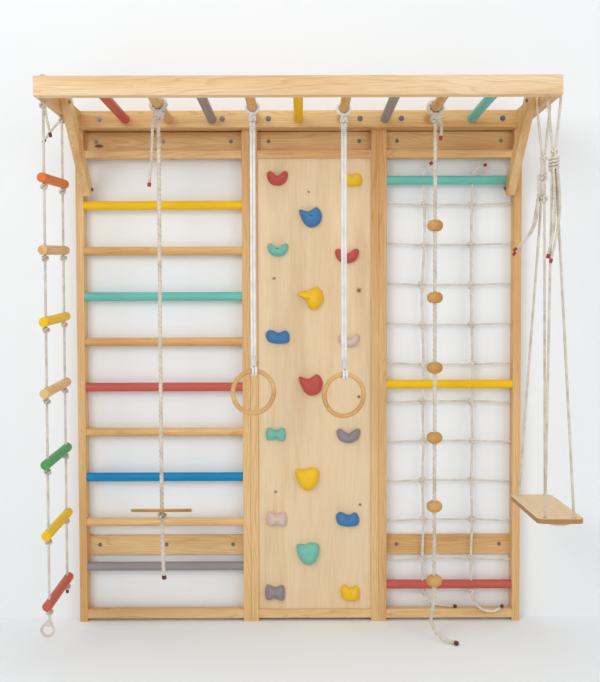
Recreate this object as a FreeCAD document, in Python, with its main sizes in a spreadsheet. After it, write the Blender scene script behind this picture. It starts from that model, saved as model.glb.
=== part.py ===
import FreeCAD, Part
import math
import os
import re
from types import SimpleNamespace

import Sketcher

# Indoor climbing wall, in millimetres: three wall panels side by side (wall bars, climbing board, rope net),
# a canopy of monkey bars over them, and rope pieces that hang from the canopy.
# X runs to the right, Y into the wall and Z up. The origin is on the floor, mid-width, in the wall plane.

Vector = FreeCAD.Vector
ALONG_X = FreeCAD.Rotation(Vector(0, 1, 0), 90)
ALONG_Y = FreeCAD.Rotation(Vector(1, 0, 0), -90)
UPRIGHT = FreeCAD.Rotation()

SIZES = {
    # whole unit
    "overall_width": 2000,
    "overall_height": 2300,
    "canopy_reach": 600,
    "left_panel_width": 780,
    "centre_panel_width": 580,
    # lumber
    "post_width": 35,
    "post_depth": 60,
    "edge_rounding": 3,
    "rail_depth": 40,
    "top_rail_height": 35,
    "bottom_rail_height": 40,
    "floor_gap": 15,
    "wall_board_height": 90,
    "wall_board_thickness": 18,
    "upper_board_gap": 4,
    "lower_board_height": 295,
    "climbing_board_thickness": 18,
    "climbing_board_setback": 10,
    "groove_depth": 10,
    "groove_clearance": 0.3,
    # canopy
    "beam_height": 75,
    "front_beam_depth": 40,
    "back_beam_depth": 94,
    "bar_diameter": 40,
    "bar_pitch": 192,
    "socket_depth": 15,
    "socket_clearance": 0.3,
    "brace_width": 65,
    "brace_thickness": 35,
    "brace_length": 511,
    # rungs and net bars
    "rung_diameter": 40,
    "rung_wall_distance": 38,
    "first_rung_height": 249,
    "rung_pitch": 205,
    "net_top_bar_height": 1999,
    "net_middle_bar_height": 1079,
    "net_bottom_bar_height": 163,
    # ropes
    "thin_rope": 11.5,
    "thick_rope": 17.5,
    "strap_strand": 12,
    "net_upright_rope": 13.5,
    "net_cross_rope": 10,
    "rope_hole_clearance": 1,
    "net_hole_clearance": 1.5,
    "net_row_height": 272,
    "net_row_pitch": 180.5,
    "net_upright_spacing": 222,
    "net_upright_shift": -7,
    "net_knot_radius": 13,
    "net_layer_gap": 12,
    # hitches on the bars
    "hitch_clearance": 0.3,
    "hitch_knot_radius": 17,
    "hitch_knot_drop": 44,
    "pivot_drop": 75,
    "rope_head_radius": 13,
    "pivot_gap": 1,
    # disc swing
    "disc_diameter": 250,
    "disc_thickness": 15,
    "disc_height": 572,
    "disc_tilt": 13,
    "disc_hole_clearance": 2.4,
    "disc_wall_distance": 360,
    # gym rings
    "ring_diameter": 198,
    "ring_thickness": 20,
    "ring_turn": 18,
    "left_ring_height": 1070,
    "left_ring_wall_distance": 310,
    "right_ring_height": 1053,
    "right_ring_wall_distance": 280,
    "ring_loop_clearance": 1,
    "loop_spacing": 13,
    "lashing_radius": 13,
    "lashing_length": 46,
    # bead rope
    "bead_diameter": 67,
    "bead_height": 45,
    "lowest_bead_height": 258,
    "bead_stop_diameter": 21.6,
    "bead_stop_length": 8,
    "bead_wall_distance": 290,
    # rope ladder
    "ladder_rope_spacing": 260,
    "ladder_wall_distance": 460,
    "ladder_rung_length": 330,
    "ladder_rung_diameter": 38,
    "ladder_rung_pitch": 277.3,
    "lowest_ladder_rung": 272,
    "ladder_rung_tilt": 3.8,
    "ladder_rung_rounding": 5,
    "ladder_knot_radius": 13,
    # board swing
    "seat_length": 440,
    "seat_width": 175,
    "seat_thickness": 18,
    "seat_corner": 25,
    "seat_height": 611,
    "seat_wall_distance": 515,
    "seat_hole_diameter": 15.5,
    "seat_hole_inset": 25,
    "seat_hole_spacing": 110,
    "swing_front_distance": 605,
    "swing_rear_distance": 460,
    "swing_pivot_height": 2022,
    "swing_rope_gap": 12.6,
    "front_knot_drop": 82,
    "front_knot_length": 72,
    "rear_knot_drop": 73,
    "rear_knot_pitch": 88,
    # climbing holds and their fasteners
    "hold_bolt_diameter": 10,
    "hold_bolt_head": 16,
    "hold_recess_depth": 14,
    "tee_nut_flange": 24,
    # wall screws and bolts
    "wall_screw_diameter": 6,
    "wall_screw_shank": 6.4,
    "wall_screw_inset": 85,
    "wall_screw_height": 47.5,
    "screw_reach": 45,
    "bolt_hole_play": 0.6,
    "washer_diameter": 18,
    "washer_thickness": 1.6,
    "anchor_bolt_diameter": 8,
    "anchor_washer_diameter": 24,
    "frame_bolt_diameter": 8,
    "panel_bolt_recess": 7,
    "beam_bolt_depth": 60,
    "brace_bolt_reach": 350,
    "brace_bolt_wall_distance": 46,
    "brace_bolt_drop": 302.5,
    "brace_start_reach": 374,
}

RUNG_COUNT = 9
BAR_COUNT = 9
NET_ROWS = 10
# How far each bead sits above the lowest one
BEAD_RISES = (0, 320, 614, 912, 1209, 1512)
# How far each knot of a net upright sits to the right of its line, from the lowest row up
NET_WANDER = {-1: (-3, 4, -3, 4, -3, 4, -3, -8, 7, 5), 1: (-3, 4, -3, 4, -3, 4, -3, -6, -6, -5)}
LADDER_RUNGS = 7

doc = FreeCAD.newDocument("ClimbingWall")
sheet = doc.addObject("Spreadsheet::Sheet", "Sizes")
for line, (alias, value) in enumerate(SIZES.items(), 1):
    sheet.set(f"A{line}", alias)
    sheet.set(f"B{line}", str(value))
    sheet.setAlias(f"B{line}", alias)
doc.recompute()
size = SimpleNamespace(**{alias: float(sheet.get(alias)) for alias in SIZES})
nodes = []


# ---- small tools ----

def formula(text):
    """A sheet expression: every word with an underscore is a named size."""
    return re.sub(r"\b[a-z]+(?:_[a-z]+)+\b", lambda word: "Sizes." + word[0], str(text))


def bind(thing, **sizes):
    for name, text in sizes.items():
        thing.setExpression(name, formula(text))


def place(thing, x, y, z, turn=UPRIGHT):
    thing.Placement = FreeCAD.Placement(Vector(), turn)
    for axis, text in zip("xyz", (x, y, z)):
        thing.setExpression("Placement.Base." + axis, formula(text))
    return thing


def node(thing, label):
    """Gives a sub-part its name and lists it for export."""
    thing.Label = label
    nodes.append(thing)
    return thing


def block(x, y, z, length, depth, height):
    box = doc.addObject("Part::Box", "Block")
    bind(box, Length=length, Width=depth, Height=height)
    return place(box, x, y, z)


def rod(x, y, z, diameter, length, turn):
    cylinder = doc.addObject("Part::Cylinder", "Rod")
    bind(cylinder, Radius=f"({diameter}) / 2", Height=length)
    return place(cylinder, x, y, z, turn)


def ball(x, y, z, radius):
    sphere = doc.addObject("Part::Sphere", "Ball")
    bind(sphere, Radius=radius)
    return place(sphere, x, y, z)


def wrap(x, y, z, inside, strand, turn):
    """One turn of rope round something of the given inside radius."""
    torus = doc.addObject("Part::Torus", "Wrap")
    bind(torus, Radius1=f"{inside} + ({strand}) / 2", Radius2=f"({strand}) / 2")
    return place(torus, x, y, z, turn)


def group(members):
    compound = doc.addObject("Part::Compound", "Group")
    compound.Links = members
    return compound


def cut(base, tools):
    result = doc.addObject("Part::Cut", "Cut")
    result.Base = base
    result.Tool = tools[0] if len(tools) == 1 else group(tools)
    return result


def fuse(members):
    result = doc.addObject("Part::MultiFuse", "Fuse")
    result.Shapes = members
    return result


def rounded(box):
    """Rounds the four long edges of a sawn board."""
    doc.recompute()
    longest = max(edge.Length for edge in box.Shape.Edges)
    edges = [i for i, edge in enumerate(box.Shape.Edges, 1) if abs(edge.Length - longest) < 1e-6]
    fillet = doc.addObject("Part::Fillet", "Rounded")
    fillet.Base = box
    fillet.Edges = [(i, size.edge_rounding, size.edge_rounding) for i in edges]
    return fillet


def lumber(x, y, z, length, depth, height):
    return rounded(block(x, y, z, length, depth, height))


def feature(shape, label):
    thing = doc.addObject("Part::Feature", "Shape")
    thing.Shape = shape
    thing.Placement = FreeCAD.Placement()
    return node(thing, label)


def body_sketch(body, role, offset="0"):
    """A sketch on one of the body's own origin planes."""
    sketch = body.newObject("Sketcher::SketchObject", "Sketch")
    plane = next(item for item in body.Origin.OriginFeatures if item.Role == role)
    sketch.AttachmentSupport = [(plane, "")]
    sketch.MapMode = "FlatFace"
    sketch.setExpression("AttachmentOffset.Base.z", formula(offset))
    return sketch


def circle(sketch, x, y, diameter):
    """A dimensioned circle whose centre and diameter follow the sheet."""
    index = sketch.addGeometry(Part.Circle(Vector(1, 1, 0), Vector(0, 0, 1), 5))
    for kind, text in (("DistanceX", x), ("DistanceY", y)):
        if str(text) == "0":
            sketch.addConstraint(Sketcher.Constraint(kind, -1, 1, index, 3, 0))
            continue
        dimension = sketch.addConstraint(Sketcher.Constraint(kind, -1, 1, index, 3, 1))
        sketch.setExpression(f"Constraints[{dimension}]", formula(text))
    dimension = sketch.addConstraint(Sketcher.Constraint("Diameter", index, 10))
    sketch.setExpression(f"Constraints[{dimension}]", formula(diameter))


def pad(body, sketch, length):
    solid = body.newObject("PartDesign::Pad", "Pad")
    solid.Profile = sketch
    solid.setExpression("Length", formula(length))
    return solid


def route(points, corner_radius=None):
    """A path of straight runs joined by tangent arcs, and the radii of those arcs."""
    edges, radii, start = [], [], points[0]
    for before, corner, after in zip(points, points[1:], points[2:]):
        arrive = (corner - before).normalize()
        leave = (after - corner).normalize()
        half_turn = arrive.getAngle(leave) / 2
        reach = 0.45 * min(before.distanceToPoint(corner), corner.distanceToPoint(after))
        if corner_radius:
            reach = min(reach, corner_radius * math.tan(half_turn))
        radius = reach / math.tan(half_turn)
        inward = (leave - arrive).normalize()
        middle = corner + inward * (radius / math.cos(half_turn) - radius)
        first, last = corner - arrive * reach, corner + leave * reach
        edges += [Part.LineSegment(start, first).toShape(), Part.Arc(first, middle, last).toShape()]
        radii.append(round(radius))
        start = last
    edges.append(Part.LineSegment(start, points[-1]).toShape())
    return Part.Wire(edges), radii


def rope(name, points, diameter, corner_radius=None):
    """A round rope along a route; its volume has to be its section times its length."""
    points = [Vector(*point) for point in points]
    path, radii = route(points, corner_radius)
    section = Part.Circle(points[0], points[1] - points[0], diameter / 2).toShape()
    face = Part.Face(Part.Wire(section))
    solid = path.makePipe(face)
    if abs(solid.Volume / (face.Area * path.Length) - 1) > 0.01:
        raise ValueError(f"the rope {name} has the wrong volume")
    print(f"{name}: length {path.Length:.0f} mm, radii {radii}")
    return solid


def seam_to_wall(shape, centre):
    """Turns a round shape so that its seam is clear of two ropes side by side."""
    shape.rotate(centre, Vector(0, 0, 1), 90)
    return shape


def knot(radius, centre):
    return seam_to_wall(Part.makeSphere(radius, centre), centre)


def joined(solids):
    """One solid out of pieces of rope and knots that run into each other."""
    return solids[0].multiFuse(solids[1:]).removeSplitter()


# ---- lines that several pieces share ----

HALF_WIDTH = "overall_width / 2"
LEFT_EDGE = f"(-{HALF_WIDTH})"
CENTRE_LEFT = f"({LEFT_EDGE} + left_panel_width)"
CENTRE_RIGHT = f"({CENTRE_LEFT} + centre_panel_width)"
RIGHT_WIDTH = "(overall_width - left_panel_width - centre_panel_width)"
BEAM_UNDERSIDE = "(overall_height - beam_height)"
BAR_HEIGHT = "(overall_height - beam_height / 2)"
CANOPY_FRONT = "(-post_depth - canopy_reach)"
UPPER_BOARD_Z = f"({BEAM_UNDERSIDE} - upper_board_gap - wall_board_height)"
TOP_RAIL_Z = f"({UPPER_BOARD_Z} - top_rail_height)"
PANELS = {
    "left": (LEFT_EDGE, "left_panel_width"),
    "centre": (CENTRE_LEFT, "centre_panel_width"),
    "right": (CENTRE_RIGHT, RIGHT_WIDTH),
}

half_width = size.overall_width / 2
bar_height = size.overall_height - size.beam_height / 2
beam_underside = size.overall_height - size.beam_height
pivot_height = bar_height - size.pivot_drop
right_panel_left = size.left_panel_width + size.centre_panel_width - half_width
right_panel_centre = (right_panel_left + half_width) / 2
net_depth = -size.rung_wall_distance


# ---- wall panels ----

def cross_bar(left, width, height, allowance=0, clearance=0):
    """A round bar let into both posts of a panel, or with an allowance the sockets for it."""
    return rod(
        f"{left} + post_width - socket_depth - {allowance}",
        "-rung_wall_distance",
        height,
        f"rung_diameter + 2 * {clearance}",
        f"{width} - 2 * post_width + 2 * socket_depth + 2 * {allowance}",
        ALONG_X,
    )


def bar_socket(left, width, height):
    return cross_bar(left, width, height, allowance=0.5, clearance="socket_clearance")


def post_pair(left, width):
    posts = [
        lumber(x, "-post_depth", "0", "post_width", "post_depth", BEAM_UNDERSIDE)
        for x in (left, f"{left} + {width} - post_width")
    ]
    return group(posts)


def panel_bolt_hole(x, height, diameter, length):
    """A cross hole through the two posts that meet at x."""
    return rod(f"{x} - ({length}) / 2", PANEL_BOLT_Y, height, diameter, length, ALONG_X)


PANEL_BOLT_HEIGHTS = ("lower_board_height + 250", "overall_height / 2", f"{TOP_RAIL_Z} - 160")
PANEL_BOLT_LENGTH = "2 * post_width - 6"
PANEL_BOLT_Y = "(-post_depth / 4)"


def panel_bolt_holes(x):
    holes = [panel_bolt_hole(x, h, "frame_bolt_diameter + bolt_hole_play", "2 * post_width + 4")
             for h in PANEL_BOLT_HEIGHTS]
    recesses = [
        rod(f"{x} + {side}", PANEL_BOLT_Y, h, "hold_bolt_head + 1", "panel_bolt_recess + 1", ALONG_X)
        for h in PANEL_BOLT_HEIGHTS
        for side in ("post_width - panel_bolt_recess", "(-post_width - 1)")
    ]
    return holes + recesses


# Y and Z of the bolts of a brace: one into the side beam, one into the post
BRACE_BOLT_PLACES = (
    ("-post_depth - brace_bolt_reach", BAR_HEIGHT),
    ("-brace_bolt_wall_distance", f"{BAR_HEIGHT} - brace_bolt_drop"),
)


def side_bolt(side, y, z, diameter, start, length):
    """A rod along X that starts at a distance inside the outer face of one side."""
    x = f"({HALF_WIDTH} - ({start}) - ({length}))" if side > 0 else f"(-{HALF_WIDTH} + {start})"
    return rod(x, y, z, diameter, length, ALONG_X)


def brace_bolt_holes(side):
    return [side_bolt(side, y, z, "frame_bolt_diameter + bolt_hole_play", 8, "post_width + brace_thickness")
            for y, z in BRACE_BOLT_PLACES]


rung_heights = [f"first_rung_height + {i} * rung_pitch" for i in range(RUNG_COUNT)]
net_bars = {
    "teal_net_bar": "net_top_bar_height",
    "yellow_net_bar": "net_middle_bar_height",
    "red_net_bar": "net_bottom_bar_height",
}
net_upright_xs = [
    f"({CENTRE_RIGHT} + {RIGHT_WIDTH} / 2 + net_upright_shift + {side} * net_upright_spacing / 2)"
    for side in (-1, 1)
]
CROSS_ROPE_Y = "(-rung_wall_distance + net_layer_gap)"


def left_posts():
    left, width = PANELS["left"]
    tools = [bar_socket(left, width, height) for height in rung_heights]
    tools += panel_bolt_holes(CENTRE_LEFT) + brace_bolt_holes(-1)
    node(cut(post_pair(left, width), tools), "left_panel_posts")


def centre_posts():
    left, width = PANELS["centre"]
    tools = panel_bolt_holes(CENTRE_LEFT) + panel_bolt_holes(CENTRE_RIGHT) + [climbing_board_groove()]
    node(cut(post_pair(left, width), tools), "centre_panel_posts")


def right_posts():
    left, width = PANELS["right"]
    tools = [bar_socket(left, width, height) for height in net_bars.values()]
    tools += panel_bolt_holes(CENTRE_RIGHT) + brace_bolt_holes(1)
    for row in range(NET_ROWS):
        tools.append(rod(
            f"{left} + post_width - 25",
            CROSS_ROPE_Y,
            f"net_row_height + {row} * net_row_pitch",
            "net_cross_rope + 2 * rope_hole_clearance",
            f"{width} - 2 * post_width + 50",
            ALONG_X,
        ))
    node(cut(post_pair(left, width), tools), "right_panel_posts")


def climbing_board_groove():
    left, width = PANELS["centre"]
    return block(
        f"{left} + post_width - groove_depth - groove_clearance",
        "-post_depth + climbing_board_setback - groove_clearance",
        "floor_gap + bottom_rail_height - groove_depth - groove_clearance",
        f"{width} - 2 * post_width + 2 * groove_depth + 2 * groove_clearance",
        "climbing_board_thickness + 2 * groove_clearance",
        f"{TOP_RAIL_Z} - floor_gap - bottom_rail_height + 2 * groove_depth + 2 * groove_clearance",
    )


def rail(panel, z, height):
    left, width = PANELS[panel]
    return lumber(f"{left} + post_width", "-post_depth", z, f"{width} - 2 * post_width", "rail_depth", height)


def rails():
    top = [rail(panel, TOP_RAIL_Z, "top_rail_height") for panel in PANELS]
    bottom = [rail(panel, "floor_gap", "bottom_rail_height") for panel in PANELS]
    node(cut(group(top + bottom), [climbing_board_groove()]), "panel_rails")


def wall_screw_places():
    """X and Z of each wall screw: three across the wide boards, two across the centre one."""
    upper, lower = f"{UPPER_BOARD_Z} + wall_screw_height", "lower_board_height + wall_screw_height"
    places = []
    for panel, heights, sides in (("left", (upper, lower), (-1, 0, 1)), ("centre", (upper,), (-1, 1)),
                                  ("right", (upper, lower), (-1, 1))):
        left, width = PANELS[panel]
        for height in heights:
            places += [(f"{left} + {width} / 2 + {side} * ({width} / 2 - wall_screw_inset)", height)
                       for side in sides]
    return places


def wall_boards():
    boards = []
    for left, width in PANELS.values():
        for height in (UPPER_BOARD_Z, "lower_board_height"):
            boards.append(lumber(f"{left} + post_width", "-wall_board_thickness", height,
                                 f"{width} - 2 * post_width", "wall_board_thickness", "wall_board_height"))
    holes = [rod(x, "-wall_board_thickness - 1", z, "wall_screw_shank + bolt_hole_play",
                 "wall_board_thickness + 2", ALONG_Y) for x, z in wall_screw_places()]
    node(cut(group(boards), holes), "wall_boards")


def wall_screws():
    """A smooth shank through the board, then the thread that goes into the wall."""
    parts = []
    for x, z in wall_screw_places():
        shank = rod(x, "-wall_board_thickness - 3", z, "wall_screw_shank", "wall_board_thickness + 4", ALONG_Y)
        thread = rod(x, "0", z, "wall_screw_diameter", "screw_reach", ALONG_Y)
        washer = rod(x, "-wall_board_thickness - washer_thickness - 0.2", z, "washer_diameter",
                     "washer_thickness", ALONG_Y)
        head = rod(x, "-wall_board_thickness - 4.5", z, "washer_diameter * 0.62", "3", ALONG_Y)
        parts.append(fuse([shank, thread, washer, head]))
    node(group(parts), "wall_screws")


def panel_bolts():
    parts = []
    for x in (CENTRE_LEFT, CENTRE_RIGHT):
        for height in PANEL_BOLT_HEIGHTS:
            shank = panel_bolt_hole(x, height, "frame_bolt_diameter", PANEL_BOLT_LENGTH)
            ends = [rod(f"{x} + {side}", PANEL_BOLT_Y, height, "hold_bolt_head", "panel_bolt_recess - 2",
                        ALONG_X)
                    for side in ("post_width - panel_bolt_recess + 0.2", "(-post_width + 1.8)")]
            parts.append(fuse([shank] + ends))
    node(group(parts), "panel_bolts")


def rungs():
    left, width = PANELS["left"]
    colours = ("grey", "natural", "blue", "natural", "red", "natural", "teal", "natural", "yellow")
    made = [cross_bar(left, width, height) for height in rung_heights]
    for colour in ("grey", "blue", "red", "teal", "yellow"):
        node(made[colours.index(colour)], f"{colour}_wall_rung")
    node(group([bar for bar, colour in zip(made, colours) if colour == "natural"]), "natural_wall_rungs")


def net_bar_pieces():
    left, width = PANELS["right"]
    for label, height in net_bars.items():
        holes = [rod(x, "-rung_wall_distance", f"{height} - rung_diameter",
                     "net_upright_rope + 2 * net_hole_clearance", "2 * rung_diameter", UPRIGHT)
                 for x in net_upright_xs]
        node(cut(cross_bar(left, width, height), holes), label)


# ---- climbing board and holds ----

# Each hold: colour, outline, X from the board's centre, height, width, tallness, depth
HOLDS = (
    ("red", "crescent", -165, 2006, 95, 65, 38),
    ("yellow", "notched", 166, 2000, 95, 63, 38),
    ("blue", "bean", -17, 1832, 101, 91, 48),
    ("teal", "crescent", -164, 1686, 95, 58, 36),
    ("red", "crescent", 147, 1658, 108, 66, 40),
    ("yellow", "drop", -19, 1469, 116, 102, 48),
    ("blue", "notched", -166, 1296, 107, 63, 38),
    ("pink", "crescent", 156, 1276, 96, 58, 36),
    ("red", "bean", -17, 1077, 107, 97, 50),
    ("teal", "bow", -176, 854, 90, 61, 36),
    ("grey", "crescent", 153, 846, 109, 65, 38),
    ("yellow", "shield", -33, 652, 104, 101, 50),
    ("pink", "bow", -173, 468, 92, 67, 36),
    ("blue", "notched", 148, 466, 105, 67, 38),
    ("teal", "shield", -31, 310, 100, 100, 50),
    ("grey", "bow", -182, 130, 91, 73, 38),
    ("yellow", "notched", 160, 128, 86, 74, 38),
)
# Outlines in shares of the width and tallness, anticlockwise
OUTLINES = {
    "crescent": ((-.5, .3), (-.36, -.3), (.02, -.5), (.38, -.26), (.5, .34), (.34, .5), (0, .17), (-.32, .5)),
    "notched": ((-.5, .24), (-.4, -.34), (0, -.5), (.44, -.4), (.5, .1), (.34, .46), (.04, .3), (-.3, .5)),
    "bean": ((-.5, .38), (-.4, -.06), (-.2, -.4), (.1, -.5), (.42, -.28), (.5, .16), (.28, .5), (-.1, .3)),
    "drop": ((-.5, .2), (-.2, -.06), (-.08, -.4), (.2, -.5), (.46, -.22), (.5, .2), (.28, .5), (-.08, .36)),
    "bow": ((-.5, .1), (-.42, -.44), (0, -.36), (.4, -.5), (.5, 0), (.4, .46), (.02, .34), (-.38, .5)),
    "shield": ((-.5, .4), (-.46, -.08), (-.2, -.46), (.16, -.5), (.44, -.16), (.5, .36), (.2, .5), (-.16, .42)),
}
HOLD_SECTIONS = ((0, 1), (0.45, 0.93), (0.85, 0.74), (1, 0.5))
board_centre = -half_width + size.left_panel_width + size.centre_panel_width / 2
board_front = -size.post_depth + size.climbing_board_setback
board_back = board_front + size.climbing_board_thickness


def hold_outline(points, width, tallness, x, y, z):
    curve = Part.BSplineCurve()
    through = [Vector(x + u * width, y, z + v * tallness) for u, v in points]
    curve.interpolate(Points=through, PeriodicFlag=True)
    return Part.Wire(curve.toShape())


def hold_shape(outline, x, z, width, tallness, depth):
    """A moulded grip: its outline shrinks towards the front, with a recess for the bolt's head."""
    wires = [hold_outline(OUTLINES[outline], width * share, tallness * share, x, board_front - out * depth, z)
             for out, share in HOLD_SECTIONS]
    grip = Part.makeLoft(wires, True)
    outward = Vector(0, -1, 0)
    bore_start = Vector(x, board_front + 1, z)
    bore = Part.makeCylinder(size.hold_bolt_diameter / 2 + 0.6, depth + 2, bore_start, outward)
    recess = Part.makeCylinder(size.hold_bolt_head / 2 + 1.5, size.hold_recess_depth + 2,
                               Vector(x, board_front - depth + size.hold_recess_depth, z), outward)
    return grip.cut([bore, recess])


def holds():
    for colour in ("red", "yellow", "blue", "teal", "pink", "grey"):
        shapes = [hold_shape(outline, board_centre + x, z, width, tallness, depth)
                  for shade, outline, x, z, width, tallness, depth in HOLDS if shade == colour]
        feature(Part.makeCompound(shapes), f"{colour}_holds")


def hold_fasteners():
    bolts, nuts = [], []
    back = "(-post_depth + climbing_board_setback + climbing_board_thickness)"
    for _, _, x, z, _, _, depth in HOLDS:
        x = f"{CENTRE_LEFT} + centre_panel_width / 2 + {x}"
        head_y = f"-post_depth + climbing_board_setback - {depth} + hold_recess_depth"
        length = f"climbing_board_thickness + {depth} - hold_recess_depth + 4"
        shank = rod(x, head_y, z, "hold_bolt_diameter", length, ALONG_Y)
        head = rod(x, f"{head_y} - 8", z, "hold_bolt_head", "8", ALONG_Y)
        socket = rod(x, f"{head_y} - 9", z, "hold_bolt_head / 2", "6", ALONG_Y)
        bolts.append(cut(fuse([shank, head]), [socket]))
        flange = rod(x, f"{back} + 0.1", z, "tee_nut_flange", "1.5", ALONG_Y)
        barrel = rod(x, f"{back} - 9", z, "hold_bolt_diameter + 3", "10", ALONG_Y)
        bore = rod(x, f"{back} - 12", z, "hold_bolt_diameter + 0.1", "20", ALONG_Y)
        nuts.append(cut(fuse([flange, barrel]), [bore]))
    node(group(bolts), "hold_bolts")
    node(group(nuts), "tee_nuts")


def climbing_board():
    """Plywood sheet let into grooves of the posts and rails, with a hole behind every hold."""
    left, width = PANELS["centre"]
    sheet_of_ply = block(
        f"{left} + post_width - groove_depth",
        "-post_depth + climbing_board_setback",
        "floor_gap + bottom_rail_height - groove_depth",
        f"{width} - 2 * post_width + 2 * groove_depth",
        "climbing_board_thickness",
        f"{TOP_RAIL_Z} - floor_gap - bottom_rail_height + 2 * groove_depth",
    )
    holes = [rod(f"{CENTRE_LEFT} + centre_panel_width / 2 + {hold[2]}", "-post_depth", hold[3],
                 "hold_bolt_diameter + 3.4", "post_depth", ALONG_Y) for hold in HOLDS]
    node(cut(sheet_of_ply, holes), "climbing_board")


# ---- canopy ----

BAR_COLOURS = ("red", "natural", "grey", "natural", "yellow", "natural", "grey", "natural", "teal")


def monkey_bar(index, allowance=0, clearance=0):
    return rod(
        f"{index - BAR_COUNT // 2} * bar_pitch",
        f"{CANOPY_FRONT} + front_beam_depth - socket_depth - {allowance}",
        BAR_HEIGHT,
        f"bar_diameter + 2 * {clearance}",
        f"post_depth + canopy_reach - front_beam_depth - back_beam_depth + 2 * socket_depth + 2 * {allowance}",
        ALONG_Y,
    )


def anchor_xs():
    """The back beam's six wall bolts, two for each panel."""
    return [f"{left} + {width} / 2 + {side} * {width} * 0.35"
            for left, width in PANELS.values() for side in (-1, 1)]


def canopy():
    sockets = [monkey_bar(i, allowance=0.5, clearance="socket_clearance") for i in range(BAR_COUNT)]
    front = lumber(LEFT_EDGE, CANOPY_FRONT, BEAM_UNDERSIDE, "overall_width", "front_beam_depth", "beam_height")
    node(cut(front, sockets), "front_beam")
    back = lumber(f"{LEFT_EDGE} + post_width", "-back_beam_depth", BEAM_UNDERSIDE,
                  "overall_width - 2 * post_width", "back_beam_depth", "beam_height")
    anchors = [rod(x, "-back_beam_depth - 1", BAR_HEIGHT, "anchor_bolt_diameter + bolt_hole_play",
                   "back_beam_depth + 2", ALONG_Y) for x in anchor_xs()]
    beam_bolts = [hole for side in (-1, 1)
                  for hole in side_beam_bolts(side, "frame_bolt_diameter + bolt_hole_play", 1)]
    node(cut(back, sockets + anchors + beam_bolts), "back_beam")
    sides = [lumber(x, f"{CANOPY_FRONT} + front_beam_depth", BEAM_UNDERSIDE, "post_width",
                    "post_depth + canopy_reach - front_beam_depth", "beam_height")
             for x in (LEFT_EDGE, f"{HALF_WIDTH} - post_width")]
    brace_holes = brace_bolt_holes(-1) + brace_bolt_holes(1)
    ladder_holes = [
        rod(f"{LEFT_EDGE} + post_width / 2", f"-ladder_wall_distance + {side} * ladder_rope_spacing / 2",
            f"{BEAM_UNDERSIDE} - 1", "thin_rope + 2 * rope_hole_clearance", "beam_height + 2", UPRIGHT)
        for side in (-1, 1)
    ]
    node(cut(group(sides), beam_bolts + brace_holes + ladder_holes), "side_beams")
    bars = [monkey_bar(i) for i in range(BAR_COUNT)]
    for colour in ("red", "grey", "yellow", "teal", "natural"):
        same = [bar for bar, shade in zip(bars, BAR_COLOURS) if shade == colour]
        label = f"{colour}_monkey_bar" if len(same) == 1 else f"{colour}_monkey_bars"
        node(same[0] if len(same) == 1 else group(same), label)


# Heights of the two bolts in the end of a side beam, in shares of the beam's height
BEAM_BOLT_SHARES = (0.27, 0.73)


def side_beam_bolts(side, diameter, extra=0):
    """Two bolts from each side beam into the end of the back beam."""
    return [side_bolt(side, "-back_beam_depth / 2", f"{BEAM_UNDERSIDE} + beam_height * {share}",
                      diameter, -extra, f"post_width + beam_bolt_depth + {extra}")
            for share in BEAM_BOLT_SHARES]


# The brace runs down and back, at 46 degrees to the post
BRACE_AXIS = Vector(0, 1, -0.957).normalize()


def brace_blank(side):
    """A board from the side beam down and back to the post, with cut corners at both ends."""
    body = doc.addObject("PartDesign::Body", "Brace")
    sketch = body_sketch(body, "YZ_Plane")
    length, width, corner = size.brace_length, size.brace_width, size.brace_width * 0.22
    outline = [(0, corner), (corner, 0), (length - corner, 0), (length, corner), (length, width - corner),
               (length - corner, width), (corner, width), (0, width - corner)]
    corners = [Vector(u, v, 0) for u, v in outline]
    for a, b in zip(corners, corners[1:] + corners[:1]):
        sketch.addGeometry(Part.LineSegment(a, b))
    pad(body, sketch, "brace_thickness")
    tilt = FreeCAD.Rotation(Vector(0, 1, 0), BRACE_AXIS)
    x = f"{HALF_WIDTH} - post_width - brace_thickness" if side > 0 else f"-{HALF_WIDTH} + post_width"
    place(body, x, "-post_depth - brace_start_reach", f"{BAR_HEIGHT} + 8", tilt)
    return body


def braces():
    notch = bar_socket(*PANELS["right"], "net_top_bar_height")
    holes = brace_bolt_holes(-1) + brace_bolt_holes(1)
    node(cut(group([brace_blank(-1), brace_blank(1)]), [notch] + holes), "canopy_braces")


def frame_bolts():
    """Bolts of the braces and of the side beams, and the back beam's wall bolts."""
    parts = []
    for side in (-1, 1):
        for y, z in BRACE_BOLT_PLACES:
            shank = side_bolt(side, y, z, "frame_bolt_diameter", 9, "post_width + brace_thickness - 9")
            washer = side_bolt(side, y, z, "washer_diameter", "post_width + brace_thickness + 0.2", 1.6)
            head = side_bolt(side, y, z, "frame_bolt_diameter * 1.6", "post_width + brace_thickness", 7)
            parts.append(fuse([shank, washer, head]))
        shanks = side_beam_bolts(side, "frame_bolt_diameter")
        for shank, share in zip(shanks, BEAM_BOLT_SHARES):
            head = side_bolt(side, "-back_beam_depth / 2", f"{BEAM_UNDERSIDE} + beam_height * {share}",
                             "frame_bolt_diameter * 1.6", "-5", "4.8")
            parts.append(fuse([shank, head]))
    for x in anchor_xs():
        shank = rod(x, "-back_beam_depth - 3", BAR_HEIGHT, "anchor_bolt_diameter",
                    "back_beam_depth + 3 + screw_reach", ALONG_Y)
        washer = rod(x, "-back_beam_depth - 2.2", BAR_HEIGHT, "anchor_washer_diameter", "2", ALONG_Y)
        head = rod(x, "-back_beam_depth - 8", BAR_HEIGHT, "anchor_bolt_diameter * 1.6", "6", ALONG_Y)
        socket = rod(x, "-back_beam_depth - 9", BAR_HEIGHT, "anchor_bolt_diameter * 0.75", "5", ALONG_Y)
        parts.append(cut(fuse([shank, washer, head]), [socket]))
    node(group(parts), "canopy_bolts")


# ---- climbing net ----

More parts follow.
